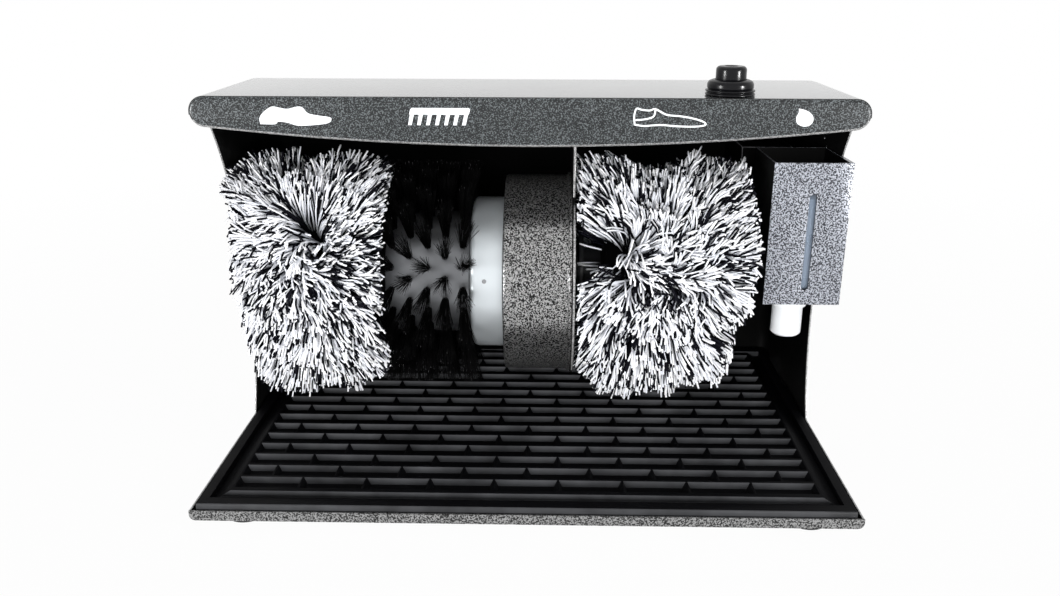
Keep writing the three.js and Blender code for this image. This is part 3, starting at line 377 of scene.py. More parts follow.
def ring_faces(rings, count, closed=False):
    """Quads from each ring of points to the next, and if closed from the last to the first."""
    faces = []
    for i in range(rings if closed else rings - 1):
        a, b = i * count, (i + 1) % rings * count
        for k in range(count):
            after = (k + 1) % count
            faces.append((a + k, a + after, b + after, b + k))
    return faces


def soften_edges(shape, width, segments, degrees):
    limit = math.radians(degrees)
    hard = [e for e in shape.edges if len(e.link_faces) == 2 and e.calc_face_angle(0) > limit]
    bmesh.ops.bevel(
        shape, geom=hard, offset=width, segments=segments, profile=0.5,
        affect="EDGES", clamp_overlap=True,
    )


def body_of(node):
    return frame["nodes"][node]["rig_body"]


def cad_shape(node):
    shape = bmesh.new()
    shape.from_mesh(frame["nodes"][node].data)
    bmesh.ops.remove_doubles(shape, verts=shape.verts, dist=NEAR)
    return shape


def softened(node, width, materials, slot, pick=None, segments=2):
    """The CAD node's own shape with its hard edges rounded a little."""
    shape = cad_shape(node)
    bmesh.ops.dissolve_limit(
        shape, angle_limit=math.radians(1), verts=shape.verts, edges=shape.edges,
    )
    soften_edges(shape, width, segments, 30)
    add_shape(node + "_finish", shape, materials, body_of(node), slot, [node], pick=pick)


def rounded(profile, radius, steps=4):
    """A closed profile with each corner off the axis replaced by a short arc."""
    result = []
    count = len(profile)
    for i in range(count):
        before = Vector(profile[i - 1])
        here = Vector(profile[i])
        after = Vector(profile[(i + 1) % count])
        if here.x < NEAR:
            result.append((0.0, here.y))
            continue
        to_before = before - here
        to_after = after - here
        reach = min(radius, to_before.length * 0.45, to_after.length * 0.45)
        start = here + to_before.normalized() * reach
        end = here + to_after.normalized() * reach
        for k in range(steps + 1):
            t = k / steps
            point = start * (1 - t) ** 2 + here * (2 * t * (1 - t)) + end * t ** 2
            result.append((point.x, point.y))
    return result


def lathe(name, profile, place, material, body, slot, replaced=(), segments=SEGMENTS):
    """A closed profile of (radius, height) pairs turned about place's own Z axis."""
    points = []
    for i in range(segments):
        angle = 2 * math.pi * i / segments
        for r, h in profile:
            points.append(place @ Vector((r * math.cos(angle), r * math.sin(angle), h)))
    shape = shape_of(points, ring_faces(segments, len(profile), closed=True))
    bmesh.ops.remove_doubles(shape, verts=shape.verts, dist=NEAR / 10)
    bmesh.ops.dissolve_degenerate(shape, dist=NEAR / 10, edges=shape.edges)
    return add_shape(name, shape, [material], body, slot, replaced)


def turned_profile(node, place):
    """The closed profile of a turned CAD node about place's own Z axis, read from one of its
    meridians. Flat ends have no edge of their own there, so their corners are joined, and a
    corner that is left over at its height is joined to the axis."""
    shape = cad_shape(node)
    shape.transform(place.inverted())
    outer = max(shape.verts, key=lambda v: v.co.xy.length)
    meridian = outer.co.xy.normalized()
    places = {}
    for vert in shape.verts:
        flat = vert.co.xy
        if flat.dot(meridian) > NEAR and abs(flat.cross(meridian)) < 5 * NEAR:
            places[vert.index] = (flat.length, vert.co.z)
    nearby = {key: [] for key in places}
    for edge in shape.edges:
        a, b = (vert.index for vert in edge.verts)
        if a in places and b in places and abs(places[a][1] - places[b][1]) > NEAR:
            nearby[a].append(b)
            nearby[b].append(a)
    shape.free()
    by_height = {}
    for key in places:
        if len(nearby[key]) < 2:
            by_height.setdefault(round(places[key][1] / (0.02 * MM)), []).append(key)
    for height, ends in by_height.items():
        ends.sort(key=lambda key: places[key][0])
        if len(ends) % 2:
            axis = ("axis", height)
            places[axis] = (0.0, places[ends[0]][1])
            nearby[axis] = []
            ends.insert(0, axis)
        for a, b in zip(ends[::2], ends[1::2]):
            nearby[a].append(b)
            nearby[b].append(a)
    here = min(places, key=lambda key: places[key][0])
    loop = []
    while here is not None:
        loop.append(here)
        here = next((key for key in nearby[here] if key not in loop), None)
    return [places[key] for key in loop]


def turned(node, place, rounding, material, slot, segments=SEGMENTS):
    """A turned CAD node again, with round edges and a round outline."""
    profile = rounded(turned_profile(node, place), rounding)
    lathe(node + "_finish", profile, place, material, body_of(node), slot, [node], segments)


# Camera at the photograph's viewing angle
PHOTO_WIDTH = 1060
FOCAL_PIXELS = 936
CAMERA_PITCH = math.radians(18.81)
CAMERA_YAW = math.radians(-1.11)
CAMERA_ROLL = math.radians(0.15)
CAMERA_PLACE = Vector((0.0122, -0.6176, 0.3131))


def add_camera():
    data = bpy.data.cameras.new("camera")
    data.sensor_fit = "HORIZONTAL"
    data.sensor_width = 36
    data.lens = data.sensor_width * FOCAL_PIXELS / PHOTO_WIDTH
    data.clip_start = 0.01
    camera = linked("camera", data)
    camera.matrix_world = (
        Matrix.Translation(CAMERA_PLACE) @ Matrix.Rotation(-CAMERA_YAW, 4, "Z")
        @ Matrix.Rotation(math.pi / 2 - CAMERA_PITCH, 4, "X") @ Matrix.Rotation(CAMERA_ROLL, 4, "Z")
    )
    bpy.context.scene.camera = camera


# Lights, floor and the white surroundings
FLOOR_REACH = 20
FLOOR_NEAR = 0.35
FLOOR_FAR = 1.1
FILL_LEVEL = 0.06
WHITE_LEVEL = 1.0
FLOOR_GLOW_NEAR = 0.97


def add_lamp(name, place, target, size, power, in_gloss=True, in_diffuse=True):
    data = bpy.data.lights.new(name, "AREA")
    data.shape = "RECTANGLE"
    data.size, data.size_y = size
    data.energy = power
    lamp = linked(name, data)
    lamp.visible_glossy = in_gloss
    lamp.visible_diffuse = in_diffuse
    aim = (Vector(target) - Vector(place)).to_track_quat("-Z", "Y")
    lamp.matrix_world = Matrix.Translation(place) @ aim.to_matrix().to_4x4()


def maths(tree, operation, first, second):
    return add_node(tree, "ShaderNodeMath", {0: first, 1: second}, operation=operation).outputs[0]


def seen_directly(tree):
    """One for rays from the camera, and for those that come by gloss or through glass."""
    path = add_node(tree, "ShaderNodeLightPath")
    seen = maths(tree, "MAXIMUM", path.outputs["Is Camera Ray"], path.outputs["Is Glossy Ray"])
    return maths(tree, "MAXIMUM", seen, path.outputs["Is Transmission Ray"])


def floor_finish():
    """A matt pale floor that keeps the shadow near the object and turns white further out."""
    material, tree, shader = new_material("floor_finish")
    fill(tree, shader, {
        "Base Color": ramp(tree, noise(tree, 60), [(0.3, grey(0.84)), (0.7, grey(0.86))]),
        "Roughness": 0.9, "Specular IOR Level": 0.1,
    })
    place = add_node(tree, "ShaderNodeTexCoord").outputs["Object"]
    away = add_node(tree, "ShaderNodeVectorMath", {0: place}, operation="LENGTH")
    glow_share = spread(
        tree, away.outputs["Value"], FLOOR_GLOW_NEAR, WHITE_LEVEL, FLOOR_NEAR, FLOOR_FAR,
    )
    glow = add_node(tree, "ShaderNodeEmission")
    mix = add_node(tree, "ShaderNodeMixShader", {
        "Fac": maths(tree, "MULTIPLY", seen_directly(tree), glow_share),
        1: shader.outputs["BSDF"], 2: glow.outputs["Emission"],
    })
    fill(tree, tree.nodes["Material Output"], {"Surface": mix.outputs["Shader"]})
    return material


def add_surroundings():
    world = bpy.data.worlds.new("surroundings")
    bpy.context.scene.world = world
    world.use_nodes = True
    tree = world.node_tree
    fill(tree, tree.nodes["Background"], {
        "Color": (1, 1, 1, 1),
        "Strength": spread(tree, seen_directly(tree), FILL_LEVEL, WHITE_LEVEL, 0, 1),
    })
    reach = FLOOR_REACH
    corners = [(-reach, -reach, 0), (reach, -reach, 0), (reach, reach, 0), (-reach, reach, 0)]
    mesh = bpy.data.meshes.new("floor")
    mesh.from_pydata(corners, [], [(0, 1, 2, 3)])
    mesh.materials.append(floor_finish())
    linked("floor", mesh)


# Hood: a smooth sheet over roof and rear with rolled side edges, and the fascia
HOOD_SHARP_FROM = 40


def hood_section():
    """The bent sheet's outer and inner line across X, each with its depth below the surface."""
    lines = []
    for inset in (0, SHEET):
        radius = EDGE_RADIUS - inset
        line = [(hood_high.x - inset, SKIRT_DEPTH)]
        for k in range(EDGE_STEPS + 1):
            angle = math.pi / 2 * k / EDGE_STEPS
            line.append((
                hood_high.x - EDGE_RADIUS + radius * math.cos(angle),
                EDGE_RADIUS - radius * math.sin(angle),
            ))
        lines.append(line + [(-x, d) for x, d in reversed(line)])
    return lines


def rear_curve(inset):
    """The curve from the roof down to the rear wall, at a depth below the surface."""
    points = []
    for i in range(REAR_STEPS + 1):
        angle = math.pi / 2 * (1 - i / REAR_STEPS)
        points.append((
            hood_high.y - REAR_RADIUS + (REAR_RADIUS - inset) * math.cos(angle),
            hood_high.z - REAR_RADIUS + (REAR_RADIUS - inset) * math.sin(angle),
            angle,
        ))
    return points


def add_hood():
    outer, inner = hood_section()
    section = outer + inner[::-1]
    count = len(section)
    edge = len(outer) - 1
    stations = [
        (hood_low.y + FASCIA_THICKNESS / 2, hood_high.z, math.pi / 2), *rear_curve(0),
        (hood_high.y, hood_low.z, 0),
    ]
    points = [
        (x, y - d * math.cos(angle), z - d * math.sin(angle))
        for y, z, angle in stations for x, d in section
    ]
    faces = ring_faces(len(stations), count)
    kinds = [int(k >= edge) for _ in stations[1:] for k in range(count)]
    last = len(points) - count
    for k in range(edge):
        inside = count - 1 - k
        faces.append((k, inside, inside - 1, k + 1))
        faces.append((last + k, last + k + 1, last + inside - 1, last + inside))
        kinds += [1, 1]
    add_shape(
        "hood_sheet", shape_of(points, faces, kinds), [shell_paint, black_enamel], HOUSING,
        "hammered_paint", ["hood_shell"], HOOD_SHARP_FROM,
    )


def fascia_outline(steps=14, arch_steps=72):
    """The fascia's outline in X and Z: rounded ends and an arched lower edge."""
    corner = hood_high.x - EDGE_RADIUS
    axis = hood_high.z - EDGE_RADIUS
    lowest = hood_high.z - FASCIA_DROP
    rise = axis - EDGE_RADIUS - lowest
    arch = (corner ** 2 + rise ** 2) / (2 * rise)
    lean = math.asin(corner / (arch + EDGE_RADIUS))
    points = []
    for k in range(steps + 1):
        angle = math.pi / 2 + (math.pi - lean) * k / steps
        points.append((
            -corner + EDGE_RADIUS * math.cos(angle), axis + EDGE_RADIUS * math.sin(angle),
        ))
    for k in range(1, arch_steps):
        angle = 1.5 * math.pi - lean + 2 * lean * k / arch_steps
        points.append((arch * math.cos(angle), lowest + arch + arch * math.sin(angle)))
    points.extend([(-x, z) for x, z in reversed(points[:steps + 1])])
    return points


def add_fascia():
    """The front plate, its edges rounded; its rounded lower edge is painted lighter, a painted
    highlight.
    """
    outline = [Vector(p) for p in fascia_outline()]
    count = len(outline)
    normals = []
    for i in range(count):
        along = outline[(i + 1) % count] - outline[i - 1]
        normals.append(Vector((along.y, -along.x)).normalized())
    rings = []
    for k in range(FRONT_STEPS + 1):
        angle = math.pi / 2 * (1 - k / FRONT_STEPS)
        rings.append((1 - math.sin(angle), 1 - math.cos(angle)))
    rings.append((FASCIA_THICKNESS / FRONT_ROUNDING, 0))
    points = []
    for back, inset in rings:
        for point, normal in zip(outline, normals):
            shrunk = point - normal * inset * FRONT_ROUNDING
            points.append((shrunk.x, hood_low.y + back * FRONT_ROUNDING, shrunk.y))
    last = len(points) - count
    faces = ring_faces(len(rings), count) + [range(count), range(len(points) - 1, last - 1, -1)]
    # The rounded lower edge takes the third, lighter paint: a painted highlight.
    kinds = [
        2 if i > 0 and normals[k].y < -0.5 else 0
        for i in range(len(rings) - 1) for k in range(count)
    ]
    add_shape(
        "hood_fascia", shape_of(points, faces, kinds + [0, 1]),
        [fascia_paint, black_enamel, edge_highlight_paint], HOUSING, "hammered_paint",
        degrees=HOOD_SHARP_FROM,
    )


def curve_through(points, steps):
    """A smooth curve through the points."""
    result = []
    for i in range(len(points) - 1):
        p0, p1 = Vector(points[max(i - 1, 0)]), Vector(points[i])
        p2, p3 = Vector(points[i + 1]), Vector(points[min(i + 2, len(points) - 1)])
        for k in range(steps):
            t = k / steps
            result.append(
                0.5 * (2 * p1 + (p2 - p0) * t + (2 * p0 - 5 * p1 + 4 * p2 - p3) * t ** 2
                       + (3 * p1 - p0 - 3 * p2 + p3) * t ** 3)
            )
    result.append(Vector(points[-1]))
    return result


def plate(name, outline, place, thickness, materials, slot, replaced=(), rounding=0, pick=None):
    """A flat plate from its outline in place's X and Y, thickened along place's Z."""
    count = len(outline)
    points = [place @ Vector((x, y, z)) for z in (0, thickness) for x, y in outline]
    caps = [range(count), range(2 * count - 1, count - 1, -1)]
    shape = shape_of(points, caps + ring_faces(2, count))
    if rounding:
        bmesh.ops.recalc_face_normals(shape, faces=shape.faces)
        soften_edges(shape, rounding, 2, 60)
    add_shape(name, shape, materials, HOUSING, slot, replaced, pick=pick)


# The side panels' hollowed front edge as shares of the hood's length and height
SIDE_FRONT = [
    (0.122, 0.954), (0.17, 0.902), (0.233, 0.82), (0.305, 0.69), (0.363, 0.52),
    (0.386, 0.385), (0.376, 0.25), (0.349, 0.135), (0.311, 0.0535),
]
STRIP_RAMP = 7 * MM
PANEL_EDGE = 0.35 * MM
FACING = 0.7


def side_outline():
    inset = SKIRT_DEPTH + SEAT_GAP
    top = hood_high.z - inset
    length = hood_high.y - hood_low.y
    places = [(hood_low.y + y * length, z * hood_high.z) for y, z in SIDE_FRONT]
    edge = [p for p in curve_through(places, 8) if p.y < top - SEAT_GAP]
    strip_front = tray_front + SHEET + SEAT_GAP
    lip_top = places[-1][1]
    return [
        (strip_front, hood_low.z), (hood_high.y - inset, hood_low.z),
        *((y, z) for y, z, _ in reversed(rear_curve(inset))),
        (edge[0].x - (top - edge[0].y) / 2, top), *((p.x, p.y) for p in edge),
        (strip_front + STRIP_RAMP, lip_top), (strip_front, lip_top),
    ]


def add_side_panels():
    """Painted outside, black inside, with a lighter paint across the sheet's edges as a painted
    highlight.
    """
    outline = side_outline()
    for node, side in (("left_side_panel", -1), ("right_side_panel", 1)):
        low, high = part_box(node)
        place = Matrix(((0, 0, 1, low.x), (1, 0, 0, 0), (0, 1, 0, 0), (0, 0, 0, 1)))

        # Faces across the sheet's edge take the third, lighter paint: a painted highlight.
        def pick(middle, normal, side=side):
            return 1 if normal.x * side < -FACING else (0 if normal.x * side > FACING else 2)

        plate(
            node + "_finish", outline, place, high.x - low.x,
            [fascia_paint, black_enamel, edge_highlight_paint], "hammered_paint", [node], PANEL_EDGE, pick,
        )


# White figures on the fascia, each drawn round its own middle: (x, height) in millimetres
PRINT_THICKNESS = 0.12 * MM
PRINT_LINE = 1.0
FIGURE_STEPS = 6
SHOE_FILLED = [
    (-21, -4.6), (-21.3, -1.2), (-19, 2.2), (-15, 5.1), (-12.6, 5.8), (-9.4, 5.2), (-4.6, 4.6),
    (1.2, 6), (4.4, 5.6), (7.4, 2.4), (13, 1.2), (19.6, 0.4), (21.2, -0.8), (19, -3.2),
    (10, -4.6), (1, -5), (-4.4, -3.6), (-10, -3), (-12.6, -4.6),
]
SHOE_OUTLINE = [
    (-20.4, -4.2), (-20.8, 1), (-19.6, 5), (-16.6, 4.4), (-12, 4), (-8.6, 4.8), (-2, 1.6),
    (6, 0.8), (14, -0.6), (20, -2.6), (20.4, -4.4), (14, -5.2), (4, -5), (-4, -4.4),
    (-10, -4.6), (-15, -5),
]
SHOE_THROAT = [(-8.6, 4.4), (-9.6, 0.6), (-14, -1), (-20, -1.6)]
DROP = [
    (-4, 5.4), (-3.9, 3), (-5, 0.4), (-4.3, -3), (-1, -4.9), (3, -4.4), (5, -1.6),
    (4, 1.8), (0.6, 4.2),
]
COMB_TEETH = 7
COMB_PITCH = 5.3
COMB_TOP = 5
COMB_BAR = 3.8
COMB_TOOTH = 2.4
COMB_LEAN = 1.3
COMB_END = 1.4


def on_fascia(x, z, slope=0):
    """A place on the fascia's face in millimetres, its own X along the machine's and its Y up."""
    front = hood_low.y - PRINT_THICKNESS
    upright = Matrix(((1, 0, 0, x * MM), (0, 0, 1, front), (0, 1, 0, z * MM), (0, 0, 0, 1)))
    return upright @ Matrix.Rotation(math.radians(slope), 4, "Z")


def closed_curve(points):
    return curve_through(points + points[:1], FIGURE_STEPS)[:-1]


def printed(name, outline, place):
    outline = [(x * MM, y * MM) for x, y in outline]
    plate(name, outline, place, PRINT_THICKNESS, [print_white], "white_plastic")


def stroke(name, route, place, closed=False):
    """A line of even width along a curve."""
    count = len(route)
    points = []
    for i, here in enumerate(route):
        before = route[i - 1] if closed or i else here
        after = route[(i + 1) % count] if closed or i + 1 < count else here
        along = (after - before).normalized()
        across = Vector((-along.y, along.x)) * PRINT_LINE / 2
        for side, height in ((1, 0), (-1, 0), (-1, PRINT_THICKNESS), (1, PRINT_THICKNESS)):
            x, y = (here + across * side) * MM
            points.append(place @ Vector((x, y, height)))
    faces = ring_faces(count, 4, closed)
    if not closed:
        faces += [range(4), range(4 * count - 1, 4 * count - 5, -1)]
    add_shape(name, shape_of(points, faces), [print_white], HOUSING, "white_plastic")


def add_figures():
    """A filled shoe, a brush, an outlined shoe and a drop: what each place is for."""
    printed("figure_shoe", closed_curve(SHOE_FILLED), on_fascia(-136.5, 236.2, -1))
    brush = on_fascia(-52, 236.8)
    half = COMB_PITCH * (COMB_TEETH - 1) / 2
    left, right = -half - COMB_END, half + COMB_END
    top, join = COMB_TOP, COMB_TOP - COMB_BAR
    printed("figure_brush_bar", [
        (left - 0.3, join), (left + 0.5, top - 0.9), (left + 1.5, top), (right + 0.2, top),
        (right + 1, top - 0.8), (right + 0.6, top - 2.4), (right, join),
    ], brush)
    for k in range(COMB_TEETH):
        x = k * COMB_PITCH - half - COMB_TOOTH / 2
        printed(f"figure_brush_tooth_{k + 1}", [
            (x - COMB_LEAN, -top), (x, join), (x + COMB_TOOTH, join),
            (x + COMB_TOOTH - COMB_LEAN - 0.3, -top),
        ], brush)
    shoe = on_fascia(82.8, 237)
    stroke("figure_shoe_line", closed_curve(SHOE_OUTLINE), shoe, closed=True)
    stroke("figure_shoe_throat", curve_through(SHOE_THROAT, FIGURE_STEPS), shoe)
    printed("figure_drop", closed_curve(DROP), on_fascia(161, 237.2))


# Yarn mops. A lock is (share of the half width, degrees up from the front, degrees it points
# to, 0 being right and 90 up, how far it leans, how far it reaches).
LEFT_LOCKS = [
    (-1.05, 52, 160, 1, 1.04), (-0.95, 62, 145, 1, 1.03), (-0.78, 75, 112, 0.6, 1),
    (-0.7, 44, 180, 0.9, 1), (-0.41, 42, 200, 1, 1), (-0.5, 34, 220, 1, 1),
    (-0.17, 36, 215, 1, 1), (0.02, 40, 195, 0.9, 1.02), (0.12, 33, 240, 1, 1.03),
    (0.05, 26, 285, 1, 1.02), (-0.16, 27, 240, 0.9, 1), (-0.1, 18, 300, 1, 1), (0, 55, 90, 0.5, 1),
    (0.25, 53, 45, 0.6, 1), (0.2, 43, 25, 0.9, 1), (0.24, 79, 85, 0.7, 1.02),
    (-0.12, 81, 90, 0.5, 0.88), (0.81, 68, 40, 0.95, 1), (0.62, 53, 32, 0.5, 1),
    (1.1, 47, 5, 0.8, 1), (0.64, 31, -3, 0.5, 1), (0.33, 32, 0, 0.6, 1), (0.3, 23, -5, 0.6, 1),
    (0.76, 9, -25, 0.8, 1), (0.3, 10, -30, 1, 1), (-0.07, 5, 275, 1, 1),
    (-0.27, 7, 262, 0.95, 1), (0.13, 5, 300, 1, 1), (-0.54, 17, 225, 0.9, 1),
    (-0.42, 12, 250, 0.9, 1), (-0.82, 13, 245, 0.9, 1), (-0.14, -16, 270, 0.35, 1),
    (0.78, -26, 310, 0.7, 1), (0.6, -9, 318, 0.6, 1), (-0.65, -12, 272, 0.8, 1),
    (-0.62, -32, 265, 0.4, 0.95), (1.15, -7, 335, 0.8, 1), (1, 18, 350, 0.8, 1),
    (-0.8, 98, 110, 0.5, 1), (-0.54, 98, 90, 0.5, 1.02), (-0.3, 98, 90, 0.4, 0.87),
    (-0.09, 98, 90, 0.3, 0.83), (0.08, 98, 85, 0.5, 0.99), (0.35, 98, 80, 0.5, 0.9),
    (0.6, 96, 70, 0.5, 0.9), (0.97, 95, 50, 0.5, 0.74), (-1, -62, 255, 0.3, 0.9),
    (-0.7, -62, 265, 0.3, 1), (-0.3, -62, 270, 0.3, 1.02), (0.1, -62, 270, 0.3, 0.98),
    (0.4, -62, 280, 0.3, 0.98), (0.78, -62, 290, 0.3, 0.9), (0.97, -62, 300, 0.3, 0.8),
]
RIGHT_LOCKS = [
    (-0.56, 43, 135, 1, 1), (-0.8, 53, 140, 0.6, 1), (-0.75, 70, 115, 0.5, 1),
    (-0.95, 50, 150, 0.7, 1), (-0.87, 27, 200, 0.2, 0.4), (-0.5, 57, 100, 0.4, 1),
    (-0.14, 49, 90, 0.3, 0.86), (-0.33, 37, 60, 0.8, 1), (0.06, 31, 48, 0.9, 1),
    (-0.25, 28, 335, 1, 1), (0.47, 28, 42, 0.8, 1), (0.25, 21, 25, 1, 1),
    (-0.11, 66, 90, 0.4, 0.9), (0.12, 63, 70, 0.4, 0.97), (0.36, 54, 50, 0.7, 1),
    (0.72, 61, 42, 1, 1.03), (0.85, 52, 10, 1, 1), (0.55, 69, 70, 0.9, 1),
    (0.87, 31, 15, 0.8, 1), (0.72, 38, 25, 0.6, 1), (0.7, 18, 5, 0.8, 1), (0.7, 7, 315, 1, 1),
    (0.55, 10, 305, 1, 1), (0.64, -20, 315, 1, 1), (0.78, -10, 300, 0.6, 0.8),
    (0.03, 3, 270, 1, 1), (-0.25, 3, 283, 1, 1), (0.3, 3, 268, 1, 1), (-0.86, 8, 225, 1, 1),
    (-0.58, 14, 222, 1, 1), (-0.68, 0, 240, 0.4, 1), (-0.97, -17, 265, 0.9, 1),
    (-0.8, -14, 268, 0.9, 1), (-0.67, -10, 260, 0.4, 0.88), (-0.09, -26, 285, 0.3, 1),
    (0.38, -29, 310, 0.5, 1), (-0.5, 19, -25, 1, 1.02), (-0.15, 14, -8, 1, 1.03),
    (0.3, 14, 4, 1, 1.03), (-1, 98, 130, 0.5, 0.86), (-0.66, 98, 110, 0.5, 0.92),
    (-0.41, 98, 90, 0.4, 0.88), (-0.22, 98, 90, 0.3, 0.84), (-0.04, 98, 90, 0.3, 0.81),
    (0.27, 98, 80, 0.4, 0.86), (0.6, 98, 70, 0.5, 0.89), (0.78, 98, 60, 0.5, 0.9),
    (1, 98, 40, 0.5, 0.76), (-1, -62, 265, 0.3, 0.84), (-0.55, -62, 270, 0.3, 1),
    (0.07, -62, 270, 0.3, 0.98), (0.4, -62, 280, 0.3, 0.91), (0.62, -62, 290, 0.3, 0.83),
    (0.95, -62, 300, 0.3, 0.75),
]
REAR_LOCKS = [
    (-0.5, 120, 140, 0.8, 1), (0.4, 125, 60, 0.7, 1), (-0.2, 150, 100, 0.9, 1),
    (0.6, 160, 30, 0.8, 1), (-0.6, 185, 200, 0.7, 1), (0.2, 195, 80, 0.9, 1),
    (-0.4, 235, 250, 0.8, 1), (0.5, 240, 320, 0.7, 1), (0, 275, 290, 0.5, 1),
]
# How far the tips may lie to either side: (degrees up from the front, lowest X, highest X)
LEFT_LIMITS = [
    (-70, -182, -92), (-30, -178, -88.5), (0, -178, -88.5), (15, -183, -88.5),
    (42, -185, -88.5), (56, -197.5, -88.5), (80, -197.5, -90), (100, -197.5, -94),
]
RIGHT_LIMITS = [
    (-70, 31, 118), (-25, 30.5, 127), (6, 30.5, 139), (27, 30.5, 144), (53, 30.5, 143),
    (72, 30.5, 140), (95, 30.5, 137),
]
LIMIT_SPREAD = 4 * MM
RIGHT_BARE = [(-1.1, 27, 20 * MM), (-0.8, 29, 9 * MM)]
BARE_FROM = 0.3
STRAY_SHARE = 0.04
LOCK_LENGTH = 21 * MM
LOCK_EDGE = 4 * MM
LOCK_SWAY = math.radians(20)
CLUMP_SWAY = math.radians(23)
STRAND_SWAY = math.radians(14)
DARK_SHARE = 0.35
ROOT_SHIFT = 0.35
# The yarn is painted darker towards its roots up to this share of its length: painted shade deep in
# the pile.
FULL_TONE_AT = 0.65
YARN_RADIUS = 0.58 * MM
YARN_SIDES = 4
YARN_STATIONS = 6
YARN_PIECES = 2
ROOT_WIDTH = 0.72
TIP_LEVEL = 0.985
TIP_WAVE = 0.025
TIP_SPREAD = 1.5 * MM
LEAN_DROP = 2.5 * MM
SHOULDER_AT = 0.86
SHOULDER_DROP = 9 * MM
CORE_RADIUS = 18 * MM
UNDER_SHARE = 0.62


def tubes(name, paths, radii, sides, material, tones, body, slot, replaced=()):
    """Many short tubes in one mesh. paths is strands by stations by three; radii by stations."""
    count, stations = paths.shape[:2]
    tangent = np.gradient(paths, axis=1)
    tangent /= np.linalg.norm(tangent, axis=2, keepdims=True)
    across = np.cross(tangent, np.broadcast_to(np.array([0.31, 0.17, 0.93]), paths.shape))
    across /= np.linalg.norm(across, axis=2, keepdims=True)
    upward = np.cross(tangent, across)
    turns = 2 * np.pi * np.arange(sides)[:, None] / sides
    ring = across[:, :, None] * np.cos(turns) + upward[:, :, None] * np.sin(turns)
    points = (paths[:, :, None] + ring * radii[:, :, None, None]).reshape(-1, 3)
    grid = np.arange(len(points)).reshape(count, stations, sides)
    after = np.roll(grid, -1, axis=2)
    quads = np.stack([grid[:, :-1], after[:, :-1], after[:, 1:], grid[:, 1:]], axis=-1)
    quads = quads.reshape(-1, 4).tolist()
    caps = grid[:, 0, ::-1].tolist() + grid[:, -1].tolist()
    mesh = bpy.data.meshes.new(name)
    mesh.from_pydata(points.tolist(), [], quads + caps)
    mesh.polygons.foreach_set("use_smooth", [True] * len(quads) + [False] * len(caps))
    attribute = mesh.attributes.new("tone", "FLOAT", "POINT")
    attribute.data.foreach_set("value", np.repeat(tones.ravel(), sides).astype(np.float32))
    mesh.validate()
    add_mesh(name, mesh, [material], body, slot, replaced)


def smooth_field(random, shortest, longest, waves=6):
    """A smooth random value over a patch measured in metres, from a few waves."""
    directions = random.normal(size=(waves, 2))
    directions /= np.linalg.norm(directions, axis=1, keepdims=True)
    lengths = random.uniform(shortest, longest, waves)
    phases = random.uniform(0, 2 * np.pi, waves)

    def value(u, v):
        total = 0
        for (a, b), length, phase in zip(directions, lengths, phases):
            total = total + np.sin(2 * np.pi * (a * u + b * v) / length + phase)
        return total / math.sqrt(waves / 2)

    return value


def combed(locks, u, v, half, radius):
    """Direction, lean and reach of the yarn at places of the unrolled drum: each lock rules
    its own surroundings."""
    total, along, upward, lean, reach = (np.zeros_like(u) for _ in range(5))
    for share, degrees, points, leans, reaches in locks:
        du = u - share * half
        dv = (np.mod(v / radius - math.radians(degrees) + np.pi, 2 * np.pi) - np.pi) * radius
        weight = ((du ** 2 + dv ** 2 + LOCK_EDGE ** 2) / radius ** 2) ** -4.5
        total += weight
        along += weight * math.cos(math.radians(points))
        upward += weight * math.sin(math.radians(points))
        lean += weight * leans
        reach += weight * reaches
    return np.arctan2(upward, along), lean / total, reach / total


